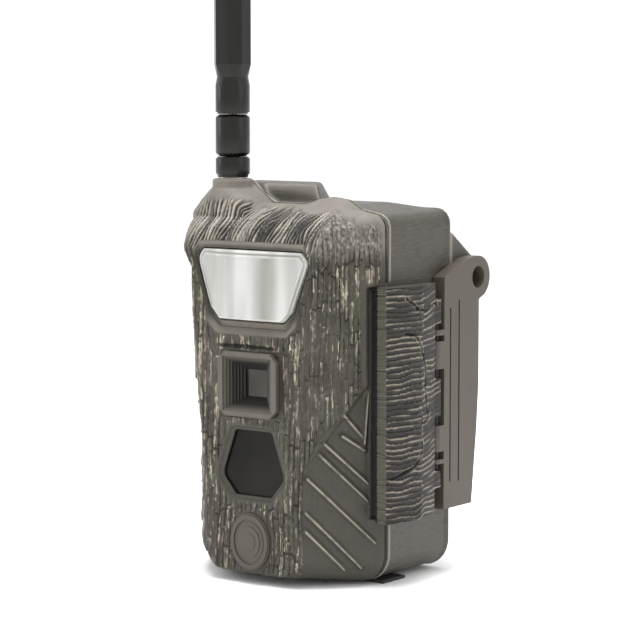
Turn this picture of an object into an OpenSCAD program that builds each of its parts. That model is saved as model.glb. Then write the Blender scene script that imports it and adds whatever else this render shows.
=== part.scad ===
// Trail camera: a hinged two-shell case with a side latch, a sensor window, a recessed lens,
// an infrared window, a screw-on antenna, a tree bracket and a battery tray for twelve AA cells.
//
// Frame: origin in the mouth of the tripod socket, +Z up, the lens looks along -Y, the latch is at +X.
// A depth is measured from the parting plane: negative in the front shell, positive in the rear shell.

/* [Case] */
// Width of the case across its side walls
case_w = 82; // [81:0.5:83]
// Height of the case at its side walls
case_h = 130; // [129:0.5:131]
// Depth of the rear shell behind the parting plane
rear_depth = 40; // [39.5:0.5:41]
// Depth of the front shell in front of the parting plane
front_depth = 25.5; // [25:0.25:26]
// Wall thickness of both shells
wall = 2.4; // [2.2:0.1:2.6]

/* [Windows] */
// Height of the middle of the sensor window
sensor_z = 105; // [104:0.5:106]
// Height of the middle of the lens frame
lens_z = 70; // [69:0.5:71]
// Height of the widest part of the infrared window
lamp_z = 38; // [37:0.5:39]
// Outer width of the lens frame
lens_frame_w = 25.8; // [25:0.2:27]
// Outer height of the lens frame
lens_frame_h = 22.8; // [22:0.2:24]
// Stand-off of the lens frame from the front shell
lens_frame_proud = 2.5; // [2:0.25:3]

/* [Latch] */
// Lowest point of the hook cover
hook_z0 = 22.4; // [21:0.2:24]
// Highest point of the hook cover
hook_z1 = 105; // [104:0.2:107]
// Outer radius of the padlock ear
ear_r = 7.7; // [7.2:0.1:8]
// Radius of the padlock hole
ear_hole_r = 4; // [3.5:0.1:4.2]

/* [Antenna] */
// Outer radius of the antenna barrel and its nut
barrel_r = 6.15; // [5.8:0.05:6.4]
// Height of the tip of the antenna
whip_top_z = 328; // [300:1:340]

/* [Battery tray] */
// Diameter of one AA cell
cell_d = 14.2; // [13.8:0.1:14.4]
// Length of one AA cell with its positive nub
cell_l = 50.4; // [50:0.1:50.5]

/* [Hidden] */
seam_y = -20;
half_w = case_w / 2;
foot_r = 10;
shoulder_r = 5;
crown_z = case_h + 2.6;
brow_r = 18;
brow_at = [-8, 113.5];
brow_z0 = 117;
brow_hw = 30.2;
block_z = 139.4;
block_d = [5.5, 22];
hump_z = 140.2;
face_hw = 20.4;
round_fn = 32;

// clearances between pieces
gap = 0.4;
run_gap = 0.05;

// door hinge
hinge_x = -half_w - 2.4;
hinge_d = 0.8;
hinge_r = 2.6;
hinge_pin_r = 1.25;
hinge_z0 = 66;
hinge_z1 = 110;
knuckle_h = (hinge_z1 - hinge_z0) / 5;

// latch: the lever turns on pin A, the hook turns on pin B
pin_a = [half_w + 2.3, 14];
pin_b = [half_w + 3.4, 25];
pin_r = 1;
boss_a_r = 1.9;
boss_b_r = 2;
leg_out = [1.2, 0.4];
latch_x0 = half_w + 0.4;
latch_x1 = half_w + 5.4;
leg_spans = [[44, 53.4], [73.8, 83.7]];
spacer_spans = [[39.6, 41.2], [85.8, 87.8]];
hook_knuckles = [[31, 37.3], [56.8, 70.6], [90, 99.2]];
hook_front_d = -8.2;
hook_rear_d = pin_b[1] - 2.4;
lever_front_d = pin_b[1] + 2.4;
lever_rear_d = 50;
ear_at = [49.5, 105.2];
rib_front_d = -5.5;

// antenna
ant_x = -21.5;
ant_d = -8;
collar_r = 7.3;
collar_z = 141.2;
core_r = 1.5;
thread_r = 3.15;
socket_z0 = 123;
socket_z1 = 146;
pocket_z = 136;
nut_bore_z = socket_z1 + 1.6;
stem_r = 2.5;
swivel_z = 164.3;
whip_r = 6.8;

// main board and inner panel
board_d = [-8.5, -6.9];
panel_d = [-2.2, -0.5];
board_posts = [[26, 50], [26, 86]];
panel_screws = [[33.4, 14], [33.4, 118]];
// the cross of buttons stands a little to the side of the middle, clear of the card socket
button_x = 1.6;
button_at = [for (p = [[0, 56], [0, 40], [-8, 48], [8, 48], [0, 48]]) [button_x + p[0], p[1]]];
button_r = 2.7;
button_back_d = -5.35;
switch_at = [20, 46];
pin_x = 28.3;
pin_z = 100;

// battery tray
cell_pitch = 15;
cell_rows = 6;
bay_d = [10.3, 27];
cell_z0 = 26.5;
tray_wall = 2;
plate_t = 0.4;
spring_l = 3.4;
tray_in = (cell_l + spring_l) / 2;
tray_w = 2 * (tray_in + plate_t + tray_wall);
tray_d = [2.5, 34.5];
web_d = [17.8, 19.2];
tray_z = [cell_z0 - 9.5, cell_z0 + (cell_rows - 1) * cell_pitch + 9.5];

// jack and its cover, tripod insert
jack_x = 30.5;
jack_d = 9;
cover_axis_d = 15.2;
cover_t = 1.2;
tripod_r = 2.6;
tripod_l = 9;

// tree bracket
bracket_d = rear_depth + 4;
rib_x = 24;
bracket_z = [30, 100];
bracket_screws_at = [[17, 37], [17, 93]];
rib_d = [54, 56.5];
strap_z = [52, 80];
strap_d = [bracket_d + 0.4, bracket_d + 5.6];
cable_z = 41;
cable_d = 49.2;
cable_r = 3.8;

BUTTONS = [for (i = [1:5]) str("menu_button_", i)];

// ---------------------------------------------------------------- shared shapes

// y of a plane at the given depth behind the parting plane
function at(d) = seam_y + d;

// a box from three [low, high] pairs: x, depth, z
module box(x, d, z)
    translate([x[0], at(d[0]), z[0]]) cube([x[1] - x[0], d[1] - d[0], z[1] - z[0]]);

// an outline in (x, z) pushed through a range of depth
module along_y(d0, d1)
    translate([0, at(d1), 0]) rotate([90, 0, 0]) linear_extrude(d1 - d0) children();

// an outline in (depth, z) pushed from x0 to x1
module along_x(x0, x1)
    translate([x0, seam_y, 0]) rotate([90, 0, 90]) linear_extrude(x1 - x0) children();

// an outline in (x, depth) pushed from z0 to z1
module along_z(z0, z1)
    translate([0, seam_y, z0]) linear_extrude(z1 - z0) children();

module rod_x(r, x0, x1, d, z, fn = 48)
    translate([x0, at(d), z]) rotate([0, 90, 0]) cylinder(r = r, h = x1 - x0, $fn = fn);

module rod_y(r, d0, d1, x, z, fn = 48)
    translate([x, at(d1), z]) rotate([90, 0, 0]) cylinder(r = r, h = d1 - d0, $fn = fn);

module rod_z(r, z0, z1, x, d, fn = 48)
    translate([x, at(d), z0]) cylinder(r = r, h = z1 - z0, $fn = fn);

// the same thing on both sides of the middle plane
module both() {
    children();
    mirror([1, 0, 0]) children();
}

// four rods in the corners of a rounded slab: hulled together they make the slab
module corner_rods(hw, z, r_low, r_high, d) {
    both() {
        rod_y(r_low, d[0], d[1], hw - r_low, z[0] + r_low, round_fn);
        rod_y(r_high, d[0], d[1], hw - r_high, z[1] - r_high, round_fn);
    }
}

// a flat rounded rectangle in (x, z)
module round_rect(hw, z0, z1, r)
    translate([0, (z0 + z1) / 2]) offset(r) square([2 * (hw - r), z1 - z0 - 2 * r], center = true);

// half outlines in (x, z), mirrored into whole ones
function mirrored(half) = concat(half, [for (i = [len(half) - 1:-1:0]) [-half[i][0], half[i][1]]]);

sensor_outline = mirrored([
    [21.6, sensor_z + 12.1], [24, sensor_z + 9.4], [24, sensor_z + 7.6],
    [17.8, sensor_z - 8.8], [14, sensor_z - 12.5]
]);
lamp_outline = mirrored([
    [8, lamp_z + 15.2], [13.2, lamp_z + 0.5], [13.2, lamp_z - 1.5], [7.9, lamp_z - 7.8]
]);

module screw(d_head, d_neck, d_tip, x, z, head_r, shaft_r) {
    rod_y(head_r, min(d_head, d_neck), max(d_head, d_neck), x, z);
    rod_y(shaft_r, min(d_neck, d_tip), max(d_neck, d_tip), x, z);
}

// ---------------------------------------------------------------- rear half

// the hump where the two shells rise round the antenna, as an outline in (x, z)
module seam_hump()
    polygon([[-38, case_h - 4], [-36, case_h + 1], [-30, hump_z], [-18.5, hump_z],
             [-13.6, case_h + 5.2], [-9, case_h + 3], [-6, case_h - 4]]);

module rear_outer() {
    hull() {
        corner_rods(half_w, [0, case_h], foot_r, shoulder_r, [0, rear_depth - 2]);
        corner_rods(half_w - 1.6, [1.6, case_h - 1.6], foot_r - 1, shoulder_r, [rear_depth - 1, rear_depth]);
        box([-22, 22], [0, rear_depth - 12], [case_h - 2, crown_z]);
    }
    // the raised block beside the antenna, with a slanted end towards the latch
    hull() {
        along_z(case_h - 3, case_h + 1) polygon([[-37, 0], [11, 2], [0, 24], [-37, 24]]);
        along_z(case_h, block_z)
            polygon([[-33, block_d[0]], [6, block_d[0]], [-4, block_d[1]], [-33, block_d[1]]]);
    }
    along_y(0, 4) seam_hump();
}

module rear_cavity() {
    hull() {
        corner_rods(half_w - wall, [wall, case_h - wall], foot_r - wall, 3, [-1, rear_depth - wall - 4]);
        corner_rods(half_w - wall - 1.4, [wall + 1.4, case_h - wall - 1.4], foot_r - wall - 1, 3,
                    [rear_depth - wall - 1, rear_depth - wall]);
    }
    // the raised block on the top is hollow too
    box([-31, -6], [block_d[0] + 2, block_d[1] - 2], [case_h - wall - 1, block_z - wall]);
}

// one hinge knuckle: a barrel on the hinge axis and a web into its shell
module knuckle(i, web_d) {
    z0 = hinge_z0 + i * knuckle_h;
    z1 = z0 + knuckle_h;
    rod_z(hinge_r, z0 + gap / 2, z1 - gap / 2, hinge_x, hinge_d);
    box([hinge_x, -half_w + 1], web_d, [z0 + gap / 2, z1 - gap / 2]);
}

// room round the axis for the other shell's knuckle
module knuckle_room(i)
    rod_z(hinge_r + gap, hinge_z0 + i * knuckle_h - gap / 2, hinge_z0 + (i + 1) * knuckle_h + gap / 2,
          hinge_x, hinge_d);

// the lugs that hold the lever pin stand in pairs, one pair round each leg of the lever
module lever_lug(z0, z1) {
    rod_z(2.6, z0, z1, pin_a[0], pin_a[1]);
    box([half_w - 1, pin_a[0]], [pin_a[1] - 2.6, pin_a[1] + 2.6], [z0, z1]);
}

// the fixed padlock lug behind the case, in line with the ear of the lever
module padlock_lug() {
    difference() {
        union() {
            along_x(half_w - 5.5, half_w - 0.1)
                polygon([[rear_depth - 9, 122], [rear_depth, 121],
                         [ear_at[0] + 0.7 * ear_r, ear_at[1] + 0.72 * ear_r],
                         [ear_at[0] + 2, 97.4], [rear_depth, 90], [rear_depth - 9, 90]]);
            rod_x(ear_r, half_w - 5.5, half_w - 0.1, ear_at[0], ear_at[1]);
        }
        rod_x(ear_hole_r, half_w - 7, half_w + 1, ear_at[0], ear_at[1]);
    }
}

module rear_shell() color("#5f5b51") {
    difference() {
        union() {
            rear_outer();
            for (i = [0, 2, 4]) knuckle(i, [0.3, hinge_d + hinge_r]);
            for (s = leg_spans) {
                lever_lug(s[0] - gap - 4, s[0] - gap);
                lever_lug(s[1] + gap, s[1] + gap + 4);
            }
        }
        rear_cavity();
        for (i = [1, 3]) knuckle_room(i);
        rod_z(hinge_pin_r, hinge_z0 - 1, hinge_z1 + 1, hinge_x, hinge_d);
        rod_z(pin_r, leg_spans[0][0] - 6, leg_spans[1][1] + 6, pin_a[0], pin_a[1]);
        // tripod insert, power jack, and the recess of the jack cover
        rod_z(4.5, -1, tripod_l, 0, -seam_y);
        box([jack_x - 4.5, jack_x + 4.5], [jack_d - 4.5, jack_d + 4.5], [wall - 1, wall + 1]);
        rod_z(2.75, -1, wall + 1, jack_x, jack_d);
        for (p = bracket_screws_at) both() rod_y(1.25, rear_depth - 6, rear_depth + 1, p[0], p[1]);
    }
    difference() {
        union() {
            rod_z(7.5, wall - 1, tripod_l + 2.5, 0, -seam_y);
            for (p = bracket_screws_at) both()
                rod_y(3.2, rear_depth - wall - 2.5, rear_depth - wall + 0.5, p[0], p[1]);
            // shelves under and over the battery tray
            box([1 - half_w, half_w - 1], [6, 30], [tray_z[0] - 2, tray_z[0] - gap]);
            box([1 - half_w, half_w - 1], [6, 30], [tray_z[1] + gap, tray_z[1] + 2]);
        }
        rod_z(4.5, -1, tripod_l, 0, -seam_y);
        for (p = bracket_screws_at) both() rod_y(1.25, rear_depth - 6, rear_depth + 1, p[0], p[1]);
    }
    padlock_lug();
}

module hinge_pin() color("silver")
    rod_z(hinge_pin_r, hinge_z0 - 0.8, hinge_z1 + 0.8, hinge_x, hinge_d);

module tripod_insert() color("#b5963f") difference() {
    rod_z(4.5, 0, tripod_l, 0, -seam_y);
    rod_z(tripod_r, -1, tripod_l - 1, 0, -seam_y);
}

module power_jack() color("#1c1c1c") difference() {
    union() {
        box([jack_x - 4.5, jack_x + 4.5], [jack_d - 4.5, jack_d + 4.5], [wall - 1, wall + 7]);
        rod_z(0.65, wall - 1, wall + 3, jack_x, jack_d);
    }
    difference() {
        rod_z(2.75, wall - 2, wall + 5.5, jack_x, jack_d);
        rod_z(0.65, wall - 2, wall + 6, jack_x, jack_d);
    }
}

// a rubber flap on a strip hinge, with a short stopper that sits in the mouth of the jack
module jack_cover() color("#26251f") difference() {
    union() {
        box([jack_x - 7.2, jack_x + 7.2], [2.2, cover_axis_d], [-cover_t, -run_gap]);
        rod_x(cover_t / 2, jack_x - 7.2, jack_x + 7.2, cover_axis_d, -cover_t / 2 - run_gap);
        rod_z(1.8, -cover_t / 2, 1.2, jack_x, jack_d);
    }
    rod_z(1, -cover_t / 4, 2, jack_x, jack_d);
}

// ---------------------------------------------------------------- battery tray

module battery_tray() color("#2b2a26") difference() {
    box([-tray_w / 2, tray_w / 2], tray_d, tray_z);
    // two open bays, back to back
    inner_x = [tray_wall - tray_w / 2, tray_w / 2 - tray_wall];
    inner_z = [tray_z[0] + tray_wall, tray_z[1] - tray_wall];
    box(inner_x, [tray_d[0] - 1, web_d[0]], inner_z);
    box(inner_x, [web_d[1], tray_d[1] + 1], inner_z);
    // finger notches in the side walls
    both() rod_x(7, tray_w / 2 - 3, tray_w / 2 + 1, tray_d[0], (tray_z[0] + tray_z[1]) / 2);
}

// bay 0 is the front one, and rows count from the bottom: neighbours point opposite ways
function cell_z(row) = cell_z0 + row * cell_pitch;
function cell_way(bay, row) = (bay + row) % 2 == 0 ? 1 : -1;

module cell(bay, row)
    translate([cell_way(bay, row) * spring_l / 2, at(bay_d[bay]), cell_z(row)])
        rotate([0, 90 * cell_way(bay, row), 0]) {
            translate([0, 0, -cell_l / 2]) cylinder(r = cell_d / 2, h = cell_l - 1.4, $fn = 64);
            translate([0, 0, cell_l / 2 - 1.5]) cylinder(r = 2.75, h = 1.5, $fn = 48);
        }

module front_cells() color("#8a8d91")
    for (row = [0:cell_rows - 1]) cell(0, row);

module rear_cells() color("#8a8d91")
    for (row = [0:cell_rows - 1]) cell(1, row);

// nickel plates on the two end walls, one at each end of every cell
module contact_plates() color("#c9c8c2") {
    for (bay = [0, 1], row = [0:cell_rows - 1])
        both() box([tray_in, tray_in + plate_t], [bay_d[bay] - 5, bay_d[bay] + 5],
                   [cell_z(row) - 5, cell_z(row) + 5]);
    // two pads on the front rim of the tray, for the power pins
    both() box([pin_x - 0.8, pin_x + 0.8], [tray_d[0] - 0.2, tray_d[0]], [pin_z - 4, pin_z + 4]);
}

// a conical spring drawn as stacked rings, on the flat end of each cell
module contact_springs() color("#dddcd6") {
    wire_r = 0.5;
    turns = 4;
    rise = (spring_l - 2 * wire_r) / (turns - 1);
    for (bay = [0, 1], row = [0:cell_rows - 1])
        translate([-cell_way(bay, row) * tray_in, at(bay_d[bay]), cell_z(row)])
            rotate([0, cell_way(bay, row) * 90, 0])
                for (k = [0:turns - 1])
                    translate([0, 0, wire_r + rise * k])
                        rotate_extrude($fn = 40) translate([4.4 - 0.5 * k, 0]) circle(r = wire_r, $fn = 16);
}

// ---------------------------------------------------------------- tree bracket

// one upright rib with a toothed edge towards the tree
module bracket_rib() {
    pitch = 5;
    count = (bracket_z[1] - bracket_z[0]) / pitch;
    along_x(rib_x, rib_x + 4)
        polygon(concat(
            [[rear_depth + 3, bracket_z[0]]],
            [for (i = [0:count - 1], k = [0, 1]) [rib_d[k], bracket_z[0] + (i + k / 2) * pitch]],
            [[rib_d[0], bracket_z[1]], [rear_depth + 3, bracket_z[1]]]
        ));
}

module tree_bracket() color("#5a564d") difference() {
    union() {
        along_y(rear_depth, bracket_d) round_rect(30, bracket_z[0], bracket_z[1], 5);
        both() bracket_rib();
    }
    // strap slots and cable holes through both ribs
    both() box([rib_x - 1, rib_x + 5], strap_d, strap_z);
    both() rod_x(cable_r, rib_x - 1, rib_x + 5, cable_d, cable_z);
    for (p = bracket_screws_at) both() {
        rod_y(1.3, rear_depth - 1, bracket_d + 1, p[0], p[1]);
        rod_y(2.9, bracket_d - 2, bracket_d + 1, p[0], p[1]);
    }
    // weight relief in the middle of the plate
    along_y(rear_depth - 1, bracket_d + 1) round_rect(10, 55, 77, 4);
}

module bracket_screws() color("#3b3b3a")
    for (p = bracket_screws_at) both() difference() {
        screw(bracket_d - 0.2, bracket_d - 2, rear_depth - 4.6, p[0], p[1], 2.6, 1.25);
        rod_y(1.2, bracket_d - 1.4, bracket_d + 1, p[0], p[1], 6);
    }

// ---------------------------------------------------------------- latch

// The hook cover bows outwards: an arc through its front edge, its middle and its rear edge
bow_front = half_w + 5;
bow_rise = 2.8;
bow_span = hook_rear_d - hook_front_d;
bow_r = (bow_span * bow_span / 4 + bow_rise * bow_rise) / (2 * bow_rise);
bow_x = bow_front + bow_rise - bow_r;
bow_d = (hook_front_d + hook_rear_d) / 2;

module latch_hook() color("#3e3a35") difference() {
    union() {
        // the bowed cover
        intersection() {
            box([latch_x0, bow_front + bow_rise + 1], [hook_front_d, hook_rear_d], [hook_z0, hook_z1]);
            rod_z(bow_r, hook_z0, hook_z1, bow_x, bow_d, 256);
        }
        // the toe that grips the rib on the front shell
        box([half_w - 2.4, latch_x0 + 1], [hook_front_d, rib_front_d - gap], [hook_z0 + 1, hook_z1 - 1]);
        for (s = hook_knuckles) {
            rod_z(boss_b_r, s[0], s[1], pin_b[0], pin_b[1]);
            box([pin_b[0] - boss_b_r, pin_b[0] + boss_b_r], [hook_rear_d - 2, pin_b[1]], s);
        }
    }
    // hollow inside, open towards the case
    intersection() {
        box([latch_x0 - 1, bow_front + bow_rise], [2, hook_rear_d - 1.4], [hook_z0 + 1.6, hook_z1 - 1.6]);
        rod_z(bow_r - 1.8, hook_z0, hook_z1, bow_x, bow_d, 256);
    }
    // the legs of the lever pass out under the rear edge of the cover
    for (s = leg_spans)
        intersection() {
            box([latch_x0 - 1, half_w + 6], [12, hook_rear_d + 1], [s[0] - gap, s[1] + gap]);
            rod_z(bow_r - 1, hook_z0, hook_z1, bow_x, bow_d, 256);
        }
    rod_z(pin_r, hook_knuckles[0][0] - 1, hook_knuckles[2][1] + 1, pin_b[0], pin_b[1]);
}

// a knuckle of the lever on pin B, with its root in the plate
module lever_knuckle(s) {
    rod_z(boss_b_r, s[0], s[1], pin_b[0], pin_b[1]);
    box([pin_b[0] - boss_b_r, pin_b[0] + boss_b_r], [pin_b[1], lever_front_d + 1], s);
}

module latch_lever() color("#726a60") difference() {
    union() {
        // the plate, with a sloped top front corner and a tapered rear edge
        along_x(latch_x0, latch_x1)
            polygon([[lever_front_d, 22.8], [45.6, 22.8], [46.9, 34], [48.8, 50], [lever_rear_d, 66],
                     [lever_rear_d, 97], [ear_at[0] + 5.4, ear_at[1] - 5.4], [ear_at[0] + 3, ear_at[1] + 7],
                     [ear_at[0] - 2, ear_at[1] + ear_r], [43, ear_at[1] + ear_r - 0.6],
                     [lever_front_d, 106.4]]);
        rod_x(ear_r, latch_x0, latch_x1, ear_at[0], ear_at[1]);
        for (s = leg_spans) {
            // each leg runs from pin A under the hook cover to pin B and on into the plate
            rod_z(boss_a_r, s[0], s[1], pin_a[0], pin_a[1]);
            along_z(s[0], s[1])
                polygon([[pin_a[0] - boss_a_r, pin_a[1]], [pin_a[0] + leg_out[0], pin_a[1]],
                         [pin_b[0] + leg_out[1], pin_b[1] - boss_b_r], [pin_b[0] + leg_out[1], pin_b[1]],
                         [pin_b[0] - boss_b_r, pin_b[1]]]);
            lever_knuckle(s);
        }
        for (s = spacer_spans) lever_knuckle(s);
    }
    rod_x(ear_hole_r, latch_x0 - 1, latch_x1 + 1, ear_at[0], ear_at[1]);
    for (s = leg_spans) {
        rod_z(pin_r + run_gap, s[0] - 1, s[1] + 1, pin_a[0], pin_a[1]);
    }
    rod_z(pin_r + run_gap, spacer_spans[0][0] - 1, spacer_spans[1][1] + 1, pin_b[0], pin_b[1]);
    // two shallow upright grooves on the outer face
    box([latch_x1 - 0.6, latch_x1 + 1], [31, 31.8], [32.5, 95.2]);
    box([latch_x1 - 0.6, latch_x1 + 1], [36.6, 37.4], [32, 97.8]);
    // lightening pocket on the inner face
    box([latch_x0 - 1, latch_x0 + 2.6], [lever_front_d + 2.4, 43], [28, 97]);
}

module lever_pin() color("silver")
    rod_z(pin_r, leg_spans[0][0] - 4.6, leg_spans[1][1] + 4.6, pin_a[0], pin_a[1]);

module hook_pin() color("silver")
    rod_z(pin_r, hook_knuckles[0][0] + 0.6, hook_knuckles[2][1] - 0.6, pin_b[0], pin_b[1]);

// ---------------------------------------------------------------- front half

// the plain lower body: flat side panels slope from the parting line to the front face
module front_body()
    hull() {
        corner_rods(half_w, [0, case_h], foot_r, shoulder_r, [-2, 0]);
        corner_rods(face_hw, [2.5, brow_z0], foot_r - 1, 4, [-front_depth, -front_depth + 0.5]);
    }

// the thicker upper part, whose lower edge runs diagonally down to the front face
module front_upper()
    hull() {
        box([-half_w, half_w], [-6, 0], [76, case_h - 6]);
        box([-26.6, 26.6], [-front_depth, -front_depth + 1], [106, 114]);
        box([-24.5, 24.5], [-front_depth, -front_depth + 1], [80, 90]);
        box([-face_hw - 0.4, face_hw + 0.4], [-front_depth, -front_depth + 1], [38, 50]);
    }

// the brow over the sensor window rolls over in one wide arc into the top deck
module brow()
    hull() {
        along_x(-brow_hw, brow_hw)
            polygon(concat([[brow_at[0], brow_z0]],
                           [for (a = [12:13:90]) brow_at + brow_r * [-cos(a), sin(a)]]));
        box([-27.2, 27.2], [-front_depth, -front_depth + 1], [111, 112]);
        corner_rods(half_w - 0.5, [108, case_h], 4, shoulder_r, [-6, 0]);
        box([-22, 22], [-8, 0], [case_h - 2, crown_z]);
    }

// the tower under the antenna swells outwards into the brow
module antenna_tower() {
    hull() {
        rod_z(7.9, case_h, 137.6, ant_x, ant_d);
        rod_z(7.9, case_h, 136.3, ant_x - 1.5, ant_d);
        along_z(case_h, 132.8)
            polygon([[-34.6, 0], [-34.6, -7], [-32.5, -13.2], [-27, -17.8], [-14, -17.8], [-8.5, -10],
                     [-8.5, 0]]);
        along_z(case_h - 8, 129)
            polygon([[-37.6, 0], [-37.6, -7], [-36, -13], [-30, -18.6], [-8, -18.6], [-8, 0]]);
        box([-29, -18.5], [-1, 0], [case_h, hump_z]);
    }
    rod_z(collar_r, case_h, collar_z, ant_x, ant_d);
}

module front_cavity() {
    // along the whole height
    intersection() {
        along_z(0, case_h)
            polygon([[half_w - 2.8, 0.5], [half_w - 2.8, -0.4], [19.6, wall - front_depth],
                     [-19.6, wall - front_depth], [2.8 - half_w, -0.4], [2.8 - half_w, 0.5]]);
        along_x(-half_w, half_w)
            polygon([[0.5, wall], [0.5, case_h - wall], [-9, case_h - wall], [-20, 121],
                     [wall - front_depth, 116], [wall - front_depth, 5.4]]);
    }
    // wider behind the sensor window
    along_z(90, 118)
        polygon([[half_w - 2.8, 0.5], [half_w - 2.8, -5], [24.3, wall - front_depth],
                 [-24.3, wall - front_depth], [2.8 - half_w, -5], [2.8 - half_w, 0.5]]);
    // room for the inner end of the antenna socket
    rod_z(5.6, case_h - wall - 3, pocket_z, ant_x, ant_d);
}

module front_shell() color("#6a655b") {
    difference() {
        union() {
            front_body();
            front_upper();
            brow();
            antenna_tower();
            // low crown on the latch side of the top deck, fading out towards the brow
            hull() {
                along_y(-2, 0) polygon([[7, case_h - 4], [7, crown_z], [13, 134.6], [19, 135.6], [25, 134.8],
                                        [33, case_h], [33, case_h - 4]]);
                along_y(-16, -15)
                    polygon([[11, case_h - 4], [11, case_h - 0.4], [28, case_h - 0.4], [28, case_h - 4]]);
            }
            // the rib that the hook grips
            box([half_w - 5, half_w], [rib_front_d, 0], [hook_z0 + 0.5, hook_z1 - 0.5]);
            for (i = [1, 3]) knuckle(i, [hinge_d - hinge_r, -0.3]);
        }
        front_cavity();
        for (i = [0, 2, 4]) knuckle_room(i);
        rod_z(hinge_pin_r + run_gap, hinge_z0 - 1, hinge_z1 + 1, hinge_x, hinge_d);
        // groove in front of the rib, for the toe of the hook
        box([half_w - 2.8, half_w + 2], [-9.3, rib_front_d], [hook_z0, hook_z1]);
        // sensor window: the hole and the smooth shelf round it
        along_y(-front_depth - 4, 1 - front_depth + wall) offset(0.3) polygon(sensor_outline);
        along_y(-front_depth - 4, 0.9 - front_depth) offset(1.6) polygon(sensor_outline);
        // lens frame
        box([-lens_frame_w / 2 + 1.5, lens_frame_w / 2 - 1.5], [-front_depth - 4, 1 - front_depth + wall],
            [lens_z - lens_frame_h / 2 + 1.2, lens_z + lens_frame_h / 2 - 1.2]);
        // infrared window, in a wider shallow bevel
        along_y(-front_depth - 4, 1 - front_depth + wall) polygon(lamp_outline);
        along_y(-front_depth - 4, 1.2 - front_depth) offset(1.4) polygon(lamp_outline);
        // antenna socket
        rod_z(thread_r, case_h - wall - 4, collar_z + 1, ant_x, ant_d);
        // seal groove
        along_y(-1, 0.5) difference() {
            round_rect(half_w - 0.6, 0.6, case_h - 0.6, foot_r - 0.6);
            round_rect(half_w - 1.9, 1.9, case_h - 1.9, foot_r - 1.9);
        }
        // panel screws
        for (p = panel_screws) both() rod_y(0.9, -6, 1, p[0], p[1]);
    }
    // posts for the main board, and ledges that the inner panel is screwed to
    difference() {
        union() {
            for (p = board_posts) both() rod_y(2.6, -15.5, board_d[0], p[0], p[1]);
            for (p = panel_screws) both() rod_y(2.6, -6.4, panel_d[0], p[0], p[1]);
            // frame that holds the infrared window from behind
            along_y(-23.4, -20) difference() {
                offset(2.4) polygon(lamp_outline);
                offset(0.9) polygon(lamp_outline);
            }
        }
        for (p = board_posts) both() rod_y(0.9, -13, -8, p[0], p[1]);
        for (p = panel_screws) both() rod_y(0.9, -6, 1, p[0], p[1]);
    }
}

module seal() color("#1b1b1a")
    along_y(-1, 0) difference() {
        round_rect(half_w - 0.65, 0.65, case_h - 0.65, foot_r - 0.65);
        round_rect(half_w - 1.85, 1.85, case_h - 1.85, foot_r - 1.85);
    }

// a thin bowed window with a rim behind it
module sensor_lens() color("#e4e7e3") {
    bow = 130;
    front_d = -front_depth - 1.1;
    difference() {
        intersection() {
            along_y(front_d - 1, -22.2) polygon(sensor_outline);
            rod_z(bow, sensor_z - 20, sensor_z + 20, 0, front_d + bow, 256);
        }
        intersection() {
            along_y(front_d - 1, -21) offset(-1.5) polygon(sensor_outline);
            rod_z(bow - 1.2, sensor_z - 20, sensor_z + 20, 0, front_d + bow, 256);
        }
    }
    // a tab under the lower edge, behind the wall
    box([-12, 12], [-23, -22.2], [sensor_z - 13.9, sensor_z - 12.4]);
}

module lens_frame() color("#5c574f") {
    steps = 8;
    face_d = -front_depth - lens_frame_proud;
    floor_d = -21.6;
    mouth = [10.8, 9.8];
    throat = [4.8, 4.8];
    hw = lens_frame_w / 2;
    hh = lens_frame_h / 2;
    chamfer = 3;
    difference() {
        union() {
            along_y(face_d, -front_depth)
                translate([0, lens_z])
                    polygon(mirrored([[hw - chamfer, -hh], [hw, chamfer - hh], [hw, hh - chamfer],
                                      [hw - chamfer, hh]]));
            box([1.7 - hw, hw - 1.7], [-front_depth - 0.5, -20.2], [lens_z - hh + 1.4, lens_z + hh - 1.4]);
        }
        // the funnel: stepped louvres at the sides, smooth ramps above and below
        intersection() {
            along_z(lens_z - hh, lens_z + hh)
                polygon(mirrored([for (i = [0:steps - 1], k = [0, 1])
                    [mouth[0] + (throat[0] - mouth[0]) * i / (steps - 1),
                     k == 0 ? (i == 0 ? face_d - 1 : face_d + (floor_d - face_d) * i / steps)
                            : (i == steps - 1 ? -20 : face_d + (floor_d - face_d) * (i + 1) / steps)]]));
            along_x(-hw, hw)
                for (side = [-1, 1])
                    polygon([[face_d - 1, lens_z], [face_d - 1, lens_z + side * mouth[1]],
                             [face_d, lens_z + side * mouth[1]], [floor_d, lens_z + side * throat[1]],
                             [-20, lens_z + side * throat[1]], [-20, lens_z]]);
        }
        // pocket for the lens window
        box([-5.8, 5.8], [-21.4, -20], [lens_z - 5.8, lens_z + 5.8]);
    }
}

module lens_window() color("#4f4a44")
    box([-5.8, 5.8], [-21.4, -20.4], [lens_z - 5.8, lens_z + 5.8]);

module lamp_window() color("#393632")
    along_y(-23, -21) offset(0.7) polygon(lamp_outline);

// a plain domed oval plaque low on the front face
module badge() color("#5d5850") {
    // plate, raised rim and a stepped dome: the radius and the height of each
    badge_step([8.6, 0, 0.8]);
    difference() {
        badge_step([8.1, 0.7, 1.3]);
        badge_step([6.9, 0.6, 1.4]);
    }
    badge_step([6, 0.7, 1]);
    badge_step([4.6, 0.9, 1.3]);
    badge_step([2.6, 1.2, 1.5]);
}

// one oval layer of the plaque: radius, and the range of height it fills
module badge_step(s)
    along_y(-front_depth - s[2], -front_depth - s[1])
        translate([0, 14]) scale([1, 1.18]) circle(r = s[0], $fn = 64);

// ---------------------------------------------------------------- antenna

module antenna_socket() color("#b5963f") difference() {
    union() {
        rod_z(thread_r, socket_z0, socket_z1, ant_x, ant_d);
        rod_z(5, pocket_z - 4, pocket_z, ant_x, ant_d, 6);
    }
    rod_z(core_r, socket_z1 - 3, socket_z1 + 1, ant_x, ant_d);
}

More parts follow.
